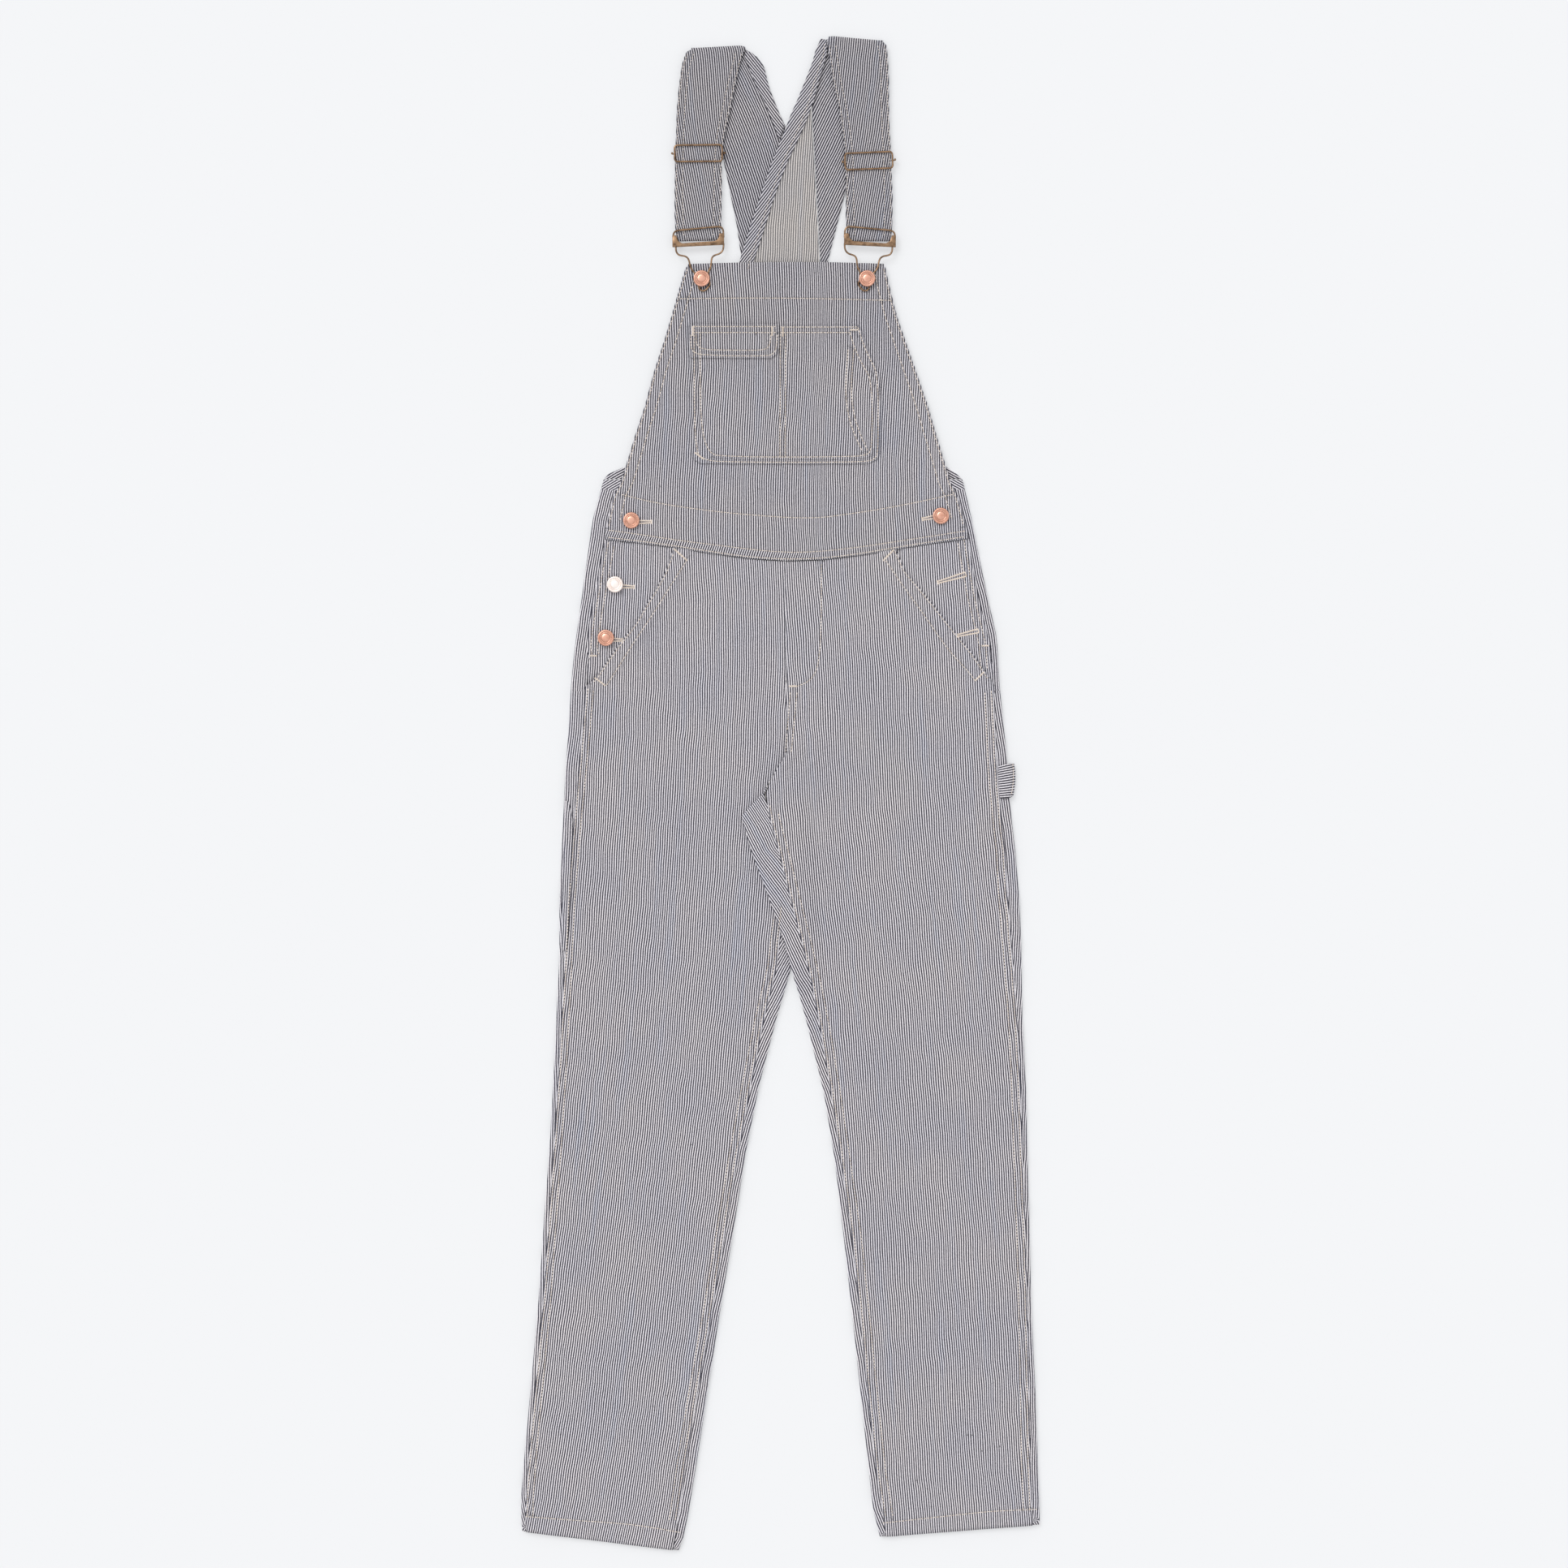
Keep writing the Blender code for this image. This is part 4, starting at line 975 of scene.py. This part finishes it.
def shoulder_turn(name, points, moved):
    """Rounds the straps where they turn over the shoulders."""
    x, y = points[:, :2].T
    if name.startswith("neck_band"):
        outer = SIDES[name].at("right" if name.endswith("_r") else "left", y)
        moved[:, 0] += (NECK_BAND_SPREAD - 1) * (x - outer)
    for push in SHOULDER_PUSHES:
        away = np.hypot(x - push.x * MM, y - push.y * MM) / (push.reach * MM)
        moved[:, 0] += push.aside * MM * np.exp(-(away**2))
        moved[:, 1] += push.up * MM * np.exp(-(away**2))


def tuck_facing(points, moved):
    """Carries the hip facing down behind the front leg, so that the opening has no gap."""
    share = blend(points[:, 1], *TUCK_BELOW)
    moved[:, 1] -= TUCK_DOWN * share
    moved[:, 2] -= TUCK_BEHIND * share


def loop_turn(points, moved):
    """The hammer loop's slack curve, in place of a flat strap of cloth."""
    aside, up = loop_shares(points[:, 0], points[:, 1])
    down = 1 - up
    moved[:, 1] += LOOP_RISE * aside * up + 2.6 * MM * aside**4 * down**2 - 1.6 * MM * aside**5 * up**3
    moved[:, 0] -= aside * MM * (2.0 * down**3 - 1.2 * up * down + 1.2 * up**6)
    moved[:, 0] += (1 - aside) * 1.6 * MM * down**2


def shading_masks(name, x, y):
    """The cloth's wear, shade and contrast at each vertex."""
    wear = 0.35 * blend(np.minimum(*SIDES[name].from_each(x, y)), 2.5 * MM, 0)
    shade = np.ones(len(x))
    contrast = np.ones(len(x))
    if name == "front_leg_l":
        beside = (x - curved(FOLD_SHADE_PATCH, y)) / FOLD_SHADE_WIDTH
        pressed = blend(np.hypot(beside, (y - FOLD_SHADE_CENTRE) / FOLD_SHADE_HEIGHT), 1.0, 0.3)
        # Below the fly the stripes lose contrast where they fan about a soft fold, and the fold's shade is
        # painted a little darker.
        contrast -= 0.2 * pressed
        shade -= 0.03 * pressed
    if name.startswith("strap"):
        shade *= STRAP_SHADE
    if name.startswith("neck_band"):
        shade *= NECK_BAND_SHADE
    if name in BIB_PIECES:
        shade *= BIB_SHADE - 0.07 * blend(y, 0.35, 0.5)
    return {"wear": wear, "shade": shade, "contrast": contrast}


def wrong_side_faces(name, middles, normals):
    """Faces on the inside of the garment, which show the cloth's pale wrong side."""
    up = normals[:, 2] > UP_FACING
    down = normals[:, 2] < -UP_FACING
    if name.startswith(("front_leg", "hip_facing")) or name == "bib_front":
        return down
    if name == "back_bib":
        return (normals[:, 2] > -UP_FACING) & (middles[:, 1] > BACK_BIB_CORNER)
    if name.startswith("back_leg"):
        level = middles[:, 2] - (crotch_lift(middles) if name.endswith("_l") else 0)
        beside = np.abs(np.abs(middles[:, 0]) - OPENING_X) < OPENING_REACH
        # A pocket opening shows the right side of the lower layer, beside the outseam.
        opening = beside & (np.abs(middles[:, 1] - OPENING_Y) < OPENING_REACH)
        return ((up & (level < FOLD_MIDDLE)) | (down & (level > FOLD_MIDDLE))) & ~opening
    return np.zeros(len(middles), dtype=bool)


def cloth_piece(name):
    """The finished cloth for one CAD piece: the same cut, with its seams in relief and a woven grain."""
    piece = copy_of(name, "_cloth")
    mesh = piece.data
    refine(mesh, LEG_SHOWN_FROM if name.startswith(("back_leg", "front_leg")) else 0)
    points = points_of(mesh)
    normals = read(mesh.vertices, "normal", 3)
    shown = exposed(points, normals)
    across = np.full(len(points), 1.0)
    travelled = np.zeros(len(points))
    upper = normals[:, 2] > UP_FACING
    across[upper], travelled[upper] = seam_places(points[upper])
    lift = (relief(name, points[:, 0], points[:, 1]) + puckers(across, travelled)) * shown
    moved = points + normals * lift[:, None]
    join_panels(name, points, moved)
    if name.startswith(("neck_band", "strap", "back_bib")):
        shoulder_turn(name, points, moved)
    if name == "hammer_loop":
        loop_turn(points, moved)
    if name.startswith("hip_facing"):
        tuck_facing(points, moved)
    mesh.vertices.foreach_set("co", moved.ravel())
    mesh.update()
    face, vertex, middles, face_normals = loops_of(mesh)
    x, y, _ = points_of(mesh)[vertex].T
    write_map(mesh, "grain", *GRAIN[name](x, y, middles[face]))
    marks = shading_masks(name, points[:, 0], points[:, 1])
    marks["seam_near"] = shown * blend(np.abs(across), 3.6 * MM, 2.2 * MM)
    marks["seam_across"] = np.clip(across, -0.01, 0.01)
    marks["seam_along"] = travelled
    for mark, values in marks.items():
        attribute = mesh.attributes.new(mark, "FLOAT", "POINT")
        attribute.data.foreach_set("value", values.astype(np.float32))
    mesh.materials.clear()
    mesh.materials.append(DENIM)
    mesh.materials.append(DENIM_INSIDE)
    wrong = wrong_side_faces(name, middles, face_normals)
    mesh.polygons.foreach_set("material_index", wrong.astype(np.int32))
    smooth(mesh)
    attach(piece, "root")
    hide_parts(name)
    return piece


SHOWN = {cut.node: cloth_piece(cut.node) for cut in CUTS}
SHOWN_TREE = tree_of([piece.data for piece in SHOWN.values()])

# ---------------------------------------------------------------- stitches

# Thread lies with its middle this share of its radius above the cloth, less what it sinks in.
THREAD_RISE = 0.45
# A place well above or below the garment, and how far from it the cloth is looked for.
OUTSIDE = 0.05
OUTSIDE_REACH = 0.06


def resting_point(x, y, facing=1):
    """(height, normal) of the cloth's top at x, y, or of its underside for -1; None past its edge."""
    start = Vector((x, y, OUTSIDE * facing))
    hit, normal, _, _ = SHOWN_TREE.ray_cast(start, UP * -facing, OUTSIDE_REACH)
    if hit is None:
        return None
    return hit.z, -normal if normal.z * facing < 0 else normal


def stitch_shape(length, radius, sides=6):
    """One stitch as a bowed capsule along x: (points, faces, uv of each point)."""
    stations = [(-0.5, 0.35, -0.55), (-0.36, 0.9, 0.0), (0, 1.0, 0.3), (0.36, 0.9, 0.0), (0.5, 0.35, -0.55)]
    points = []
    uv = []
    for place, width, rise in stations:
        for number in range(sides):
            angle = 2 * math.pi * number / sides
            y = radius * width * math.cos(angle)
            z = radius * (width * math.sin(angle) + rise)
            points.append((length * place, y, z))
            uv.append((number / sides, place + 0.5))
    last = (len(stations) - 1) * sides
    faces = []
    for here in range(0, last, sides):
        for number in range(sides):
            after = (number + 1) % sides
            faces.append((here + number, here + after, here + sides + after, here + sides + number))
    faces.append(tuple(range(sides))[::-1])
    faces.append(tuple(range(last, last + sides)))
    return np.array(points), faces, np.array(uv)


def lay_thread(name, places, length, radius, sink=0.0, material=THREAD, facing=1):
    """One mesh of many stitches; places holds (x, y, direction x, direction y, length scale)."""
    shape, faces, uv = stitch_shape(length, radius)
    points = []
    all_faces = []
    for x, y, dx, dy, scale in places:
        rest = resting_point(x, y, facing)
        if rest is None:
            continue
        height, normal = rest
        forward = Vector((dx, dy, 0))
        forward = (forward - normal * forward.dot(normal)).normalized()
        turn = np.array([forward, normal.cross(forward), normal])
        start = len(points) * len(shape)
        all_faces.extend([tuple(start + corner for corner in face) for face in faces])
        middle = np.array([x, y, height]) + np.array(normal) * radius * (THREAD_RISE - sink)
        points.append(shape * (scale, 1, 1) @ turn + middle)
    mesh = bpy.data.meshes.new(name)
    mesh.from_pydata(np.concatenate(points).tolist(), [], all_faces)
    vertex = read(mesh.loops, "vertex_index", kind=np.int64)
    write_map(mesh, "twist", *uv[vertex % len(shape)].T)
    smooth(mesh)
    mesh.materials.append(material)
    piece = bpy.data.objects.new(name, mesh)
    bpy.context.scene.collection.objects.link(piece)
    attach(piece, "root")
    return piece


def stitch_places(steady, dx, dy, scale):
    """Rows for lay_thread, from steady places and a direction at each."""
    return np.column_stack([steady[:, :2], dx, dy, np.full(len(steady), scale)])


def run_places(line):
    """Stitches along a seam, each a little uneven."""
    steady = along(line, STITCH_PITCH)
    number = np.arange(len(steady))
    turn = 0.05 * np.sin(number * 1.7)
    dx = steady[:, 2] - turn * steady[:, 3]
    dy = steady[:, 3] + turn * steady[:, 2]
    return stitch_places(steady, dx, dy, 1 + 0.05 * np.sin(number * 2.4))


def satin_places(start, end, scale, pitch=0.42, slant=0.0):
    """Close stitches laid across a short line in millimetres, slanted one way and the other by turns."""
    steady = along(np.array([start, end]) * MM, pitch * MM)
    slants = np.where(np.arange(len(steady)) % 2 == 0, slant, -slant)
    dx = -steady[:, 3] + slants * steady[:, 2]
    dy = steady[:, 2] + slants * steady[:, 3]
    return stitch_places(steady, dx, dy, scale)


# Where the worked edge of a buttonhole shows, and half its width at each end. In millimetres.
BUTTONHOLES = table(
    "x1 y1 x2 y2 gap1 gap2",
    (-140.5, 266.6, -127.2, 266.8, 1.5, 0.8),
    (-156.5, 203.4, -144.2, 202.7, 1.5, 0.8),
    (-165.5, 150.8, -155.8, 150.4, 1.5, 0.8),
    (151, 271.6, 139.2, 269.4, 1.5, 0.8),
    (182.0, 215.2, 154.4, 207.2, 2.1, 0.9),
    (194.4, 159.6, 174.0, 154.8, 1.9, 0.9),
)
BUTTONHOLE_BAR = 2.1


def buttonhole_places(hole):
    """Two worked edges that draw together, a round end and the bar across the narrow end."""
    start = np.array([hole.x1, hole.y1])
    end = np.array([hole.x2, hole.y2])
    ahead = (end - start) / np.hypot(*(end - start))
    across = np.array([-ahead[1], ahead[0]])
    wide = hole.gap1 * across
    narrow = hole.gap2 * across
    bar = BUTTONHOLE_BAR * across
    return np.concatenate([
        satin_places(start - wide, end - narrow, 0.62),
        satin_places(start + wide, end + narrow, 0.62),
        satin_places(start - wide, start + wide, 0.5),
        satin_places(end - bar, end + bar, 0.55),
    ])


def slit_shade_places(hole):
    """Painted shade in the open slit between a buttonhole's edges, laid as dark thread."""
    steady = along(np.array([(hole.x1, hole.y1), (hole.x2, hole.y2)]) * MM, 1.2 * MM)
    return stitch_places(steady, steady[:, 2], steady[:, 3], 0.62)


# The thread of each panel in millimetres.
THREAD_WORK = table(
    "panel radius length",
    ("bib", 0.38, 2.3),
    ("pocket", 0.40, 2.3),
    ("straps", 0.27, 1.7),
    ("legs", 0.36, 2.2),
)
for work in THREAD_WORK:
    sewn = np.concatenate([run_places(line) for panel, line in SEAMS if panel == work.panel])
    lay_thread("stitches_" + work.panel, sewn, work.length * MM, work.radius * MM)

# Seams on the garment's back, which lies underneath: the seat, the waist and the hems. In millimetres.
BACK_SEAMS = [
    [(9.5, -150), (9.5, 285)],
    [(15.5, -150), (15.5, 285)],
    [(-168, 300), (172, 300)],
    [(-168, 293), (172, 293)],
    HEM_R,
    HEM_L,
]
back_rows = np.concatenate([run_places(np.array(seam) * MM) for seam in BACK_SEAMS])
lay_thread("stitches_back", back_rows, 2.2 * MM, 0.3 * MM, sink=0.3, facing=-1)
tack_rows = np.concatenate([
    satin_places((tack.x1, tack.y1), (tack.x2, tack.y2), 0.8, pitch=0.5, slant=0.25) for tack in TACKS
])
lay_thread("bartacks", tack_rows, STITCH_LENGTH, 0.26 * MM, sink=-0.3)
hole_rows = np.concatenate([buttonhole_places(hole) for hole in BUTTONHOLES])
lay_thread("buttonholes", hole_rows, STITCH_LENGTH, 0.24 * MM, sink=-0.2)
# Painted shade: dark thread along each buttonhole's slit.
slit_shade_rows = np.concatenate([slit_shade_places(hole) for hole in BUTTONHOLES])
lay_thread("buttonhole_slit_shade", slit_shade_rows, STITCH_LENGTH, 0.3 * MM, sink=0.3, material=SLIT_SHADE)

# ---------------------------------------------------------------- buttons

BUTTON_SIDES = 64
BUTTON_HEAD = 2.35 * MM
# The head from its underside out over the rim to the middle: radius and height in millimetres.
BUTTON_PROFILE = [
    (2.4, 0.0), (6.9, 0.0), (7.8, 0.35), (8.05, 0.75), (8.1, 1.15), (8.0, 1.55), (7.7, 1.9), (7.2, 2.18),
    (6.8, 2.28), (6.3, 2.26), (6.0, 2.12), (5.75, 2.1), (5.4, 2.24), (5.0, 2.27), (4.75, 2.14), (4.4, 1.82),
    (4.05, 1.8), (3.7, 2.02), (3.3, 2.16), (2.6, 2.25), (1.8, 2.31), (0.9, 2.34),
]


def as_metal(piece, node, material):
    """Gives a metal piece its material, attaches it to the root and hides the CAD node it stands for."""
    piece.data.materials.clear()
    piece.data.materials.append(material)
    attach(piece, "root")
    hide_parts(node)


def map_face(mesh, x, y):
    """Turn round the button's middle and distance from it in millimetres, as a UV map."""
    face, vertex, middles, _ = loops_of(mesh)
    away = points_of(mesh)[vertex, :2] - (x, y)
    own = np.arctan2(away[:, 1], away[:, 0])
    whole = np.arctan2(middles[face, 1] - y, middles[face, 0] - x)
    own = whole + (own - whole + math.pi) % (2 * math.pi) - math.pi
    write_map(mesh, "face", own / (2 * math.pi), np.hypot(*away.T) / MM)


def extrude_up(step):
    bpy.ops.mesh.extrude_region_move(TRANSFORM_OT_translate={"value": (0, 0, step)})


def tack_button(name, material):
    """A pressed button with plain rings on its head, on the CAD button's place."""
    low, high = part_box(name)
    x = (low[0] + high[0]) / 2
    y = (low[1] + high[1]) / 2
    head = high[2] - BUTTON_HEAD
    radius = BUTTON_PROFILE[0][0]
    bpy.ops.object.select_all(action="DESELECT")
    bpy.ops.mesh.primitive_circle_add(
        vertices=BUTTON_SIDES, radius=radius * MM, fill_type="NOTHING", location=(x, y, low[2])
    )
    piece = bpy.context.active_object
    piece.name = name + "_metal"
    bpy.ops.object.transform_apply(location=True, rotation=False, scale=False)
    bpy.ops.object.mode_set(mode="EDIT")
    bpy.ops.mesh.select_all(action="SELECT")
    extrude_up(head - low[2])
    level = head
    for next_radius, rise in BUTTON_PROFILE[1:]:
        extrude_up(head + rise * MM - level)
        level = head + rise * MM
        scale = next_radius / radius
        bpy.ops.transform.resize(value=(scale, scale, 1), center_override=(x, y, level))
        radius = next_radius
    bpy.ops.mesh.edge_face_add()
    bpy.ops.mesh.select_all(action="SELECT")
    bpy.ops.mesh.normals_make_consistent(inside=False)
    bpy.ops.mesh.faces_shade_smooth()
    bpy.ops.object.mode_set(mode="OBJECT")
    map_face(piece.data, x, y)
    as_metal(piece, name, material)


for button_name in ("bib_button_r", "bib_button_l", "waist_button_r", "waist_button_l", "side_button_lower"):
    tack_button(button_name, COPPER)
# The upper side button takes the copper with painted glare.
tack_button("side_button_upper", GLARE_COPPER)

# ---------------------------------------------------------------- brass fittings

FITTING_LEVEL = 6.2
FITTING_MIRROR = 6.6
WIRE_RADIUS = 0.86
# The wearer's right fastener in millimetres, seen from above; the other one is its mirror.
FRAME_WIRE = [
    (-105.9, 546.4), (-105.7, 549.2), (-104.6, 551.8), (-102.2, 553.2), (-97.6, 553.8), (-81.6, 555.2),
    (-65.6, 556.8), (-60.4, 557.1), (-57.9, 556.1), (-56.6, 553.6), (-56.3, 549.6), (-56.2, 546.4),
]
HOOK_WIRE = [
    (-103.2, 539.2), (-103.2, 535.2), (-102.7, 532.0), (-100.8, 529.4), (-97.6, 528.5), (-94.0, 528.0),
    (-91.2, 526.0), (-89.8, 522.4), (-89.3, 518.8), (-88.0, 515.2), (-84.8, 511.6), (-82.4, 508.0),
    (-81.6, 503.2), (-81.0, 498.4), (-79.4, 495.0), (-76.8, 493.7), (-73.8, 494.7), (-71.8, 497.1),
    (-69.9, 499.4), (-69.6, 501.9), (-71.6, 504.8), (-72.5, 508.8), (-71.2, 512.8), (-69.1, 516.4),
    (-68.4, 520.8), (-68.2, 524.8), (-66.9, 527.8), (-64.0, 529.3), (-60.5, 530.2), (-57.6, 532.5),
    (-56.3, 536.0), (-56.2, 540.8),
]
SLIDERS = table("node x y tilt", ("slider_r", -81.0, 629.4, 0.5), ("slider_l", 86.6, 622.0, 2.3))
SLIDER_LEVEL = 5.95
SLIDER_CORNER = 3.0
SLIDER_HALF_WIDTH = 23.4
SLIDER_HALF_HEIGHT = 8.1
SLIDER_WIRE_RADIUS = 0.88


def brass_wire(node, points, radius, closed=False):
    """A smooth round wire through points in millimetres, in place of a CAD wire."""
    bpy.ops.object.select_all(action="DESELECT")
    bpy.ops.curve.primitive_bezier_curve_add(location=(0, 0, 0))
    piece = bpy.context.active_object
    piece.name = node + "_metal"
    curve = piece.data
    curve.dimensions = "3D"
    curve.splines.clear()
    spline = curve.splines.new("POLY")
    spline.points.add(len(points) - 1)
    for number, (x, y, z) in enumerate(points):
        spline.points[number].co = (x * MM, y * MM, z * MM, 1)
    spline.use_cyclic_u = closed
    curve.bevel_depth = radius * MM
    curve.bevel_resolution = 5
    curve.use_fill_caps = not closed
    bpy.ops.object.convert(target="MESH")
    bpy.ops.object.shade_smooth()
    as_metal(piece, node, BRASS)


def on_side(points, side):
    """The fastener's points for one side, bent softly, at their level."""
    x, y = rounded(points, 2).T
    return np.column_stack([x if side == "r" else FITTING_MIRROR - x, y, np.full(len(x), FITTING_LEVEL)])


def slider_frame(slider):
    """A rounded rectangle of wire that lies on the strap."""
    points = []
    for quarter, (side_x, side_y) in enumerate(((1, 1), (-1, 1), (-1, -1), (1, -1))):
        for angle in np.linspace(0, math.pi / 2, 8) + quarter * math.pi / 2:
            across = side_x * (SLIDER_HALF_WIDTH - SLIDER_CORNER) + SLIDER_CORNER * math.cos(angle)
            up = side_y * (SLIDER_HALF_HEIGHT - SLIDER_CORNER) + SLIDER_CORNER * math.sin(angle)
            x, y = turned(across, up, slider.tilt)
            points.append((slider.x + x, slider.y + y, SLIDER_LEVEL))
    brass_wire(slider.node, points, SLIDER_WIRE_RADIUS, closed=True)


def finished_copy(node, bevel):
    """A CAD piece with its loose triangles joined and its edges rounded off."""
    piece = copy_of(node, "_metal")
    bpy.ops.object.select_all(action="DESELECT")
    piece.select_set(True)
    bpy.context.view_layer.objects.active = piece
    bpy.ops.object.mode_set(mode="EDIT")
    bpy.ops.mesh.select_all(action="SELECT")
    bpy.ops.mesh.remove_doubles(threshold=1e-6)
    bpy.ops.mesh.normals_make_consistent(inside=False)
    bpy.ops.mesh.dissolve_limited(angle_limit=math.radians(1))
    bpy.ops.object.mode_set(mode="OBJECT")
    if bevel:
        edge = piece.modifiers.new("Rounded edge", "BEVEL")
        edge.width = bevel * MM
        edge.segments = 3
        edge.limit_method = "ANGLE"
        edge.angle_limit = math.radians(40)
        bpy.ops.object.modifier_apply(modifier=edge.name)
    bpy.ops.object.shade_smooth()
    as_metal(piece, node, BRASS)


for side_letter in ("r", "l"):
    brass_wire("buckle_frame_" + side_letter, on_side(FRAME_WIRE, side_letter), WIRE_RADIUS)
    brass_wire("buckle_hook_" + side_letter, on_side(HOOK_WIRE, side_letter), WIRE_RADIUS)
    finished_copy("buckle_bar_" + side_letter, 0.45)
    finished_copy("slider_" + side_letter + "_bar", 0)
for slider_row in SLIDERS:
    slider_frame(slider_row)

# ---------------------------------------------------------------- cloth facts

for cut in CUTS:
    piece = SHOWN[cut.node]
    flat_area = float(read(piece.data.polygons, "area").sum()) / 2

# ---------------------------------------------------------------- floor, light and camera


def paper_floor():
    bpy.ops.object.select_all(action="DESELECT")
    bpy.ops.mesh.primitive_plane_add(size=12, location=(0, 0, -0.4 * MM))
    floor = bpy.context.active_object
    floor.name = "paper_floor"
    settings = {"Roughness": 0.95, "Specular IOR Level": 0.1, "Emission Strength": 1.0}
    material, w, shader = new_material("Paper", settings)
    tint = w.mix(w.noise(w.object_place(), 1.5), (0.405, 0.409, 0.417), (0.408, 0.412, 0.420))
    w.put(shader["Base Color"], tint)
    w.put(shader["Emission Color"], tint)
    floor.data.materials.append(material)


def studio_light():
    world = bpy.data.worlds.new("Studio")
    world.use_nodes = True
    background = world.node_tree.nodes["Background"].inputs
    background["Color"].default_value = (1, 1, 1, 1)
    background["Strength"].default_value = 0.92
    bpy.context.scene.world = world
    light = bpy.data.lights.new("Soft window", "SUN")
    light.energy = 1.35
    light.angle = math.radians(35)
    item = bpy.data.objects.new("Soft window", light)
    shines_towards = Vector((0.62, -0.72, -1.05))
    item.rotation_euler = shines_towards.to_track_quat("-Z", "Y").to_euler()
    bpy.context.scene.collection.objects.link(item)


def straight_down_camera():
    middle_x, middle_y = 0.0032, 0.0088
    distance = 3.0
    covered = 1.5456
    data = bpy.data.cameras.new("Camera")
    data.sensor_width = 36
    data.lens = data.sensor_width * distance / covered
    camera = bpy.data.objects.new("Camera", data)
    camera.location = (middle_x, middle_y, distance)
    bpy.context.scene.collection.objects.link(camera)
    bpy.context.scene.camera = camera


paper_floor()
studio_light()
straight_down_camera()
bpy.context.scene.view_settings.view_transform = "Standard"
bpy.context.scene.view_settings.look = "None"
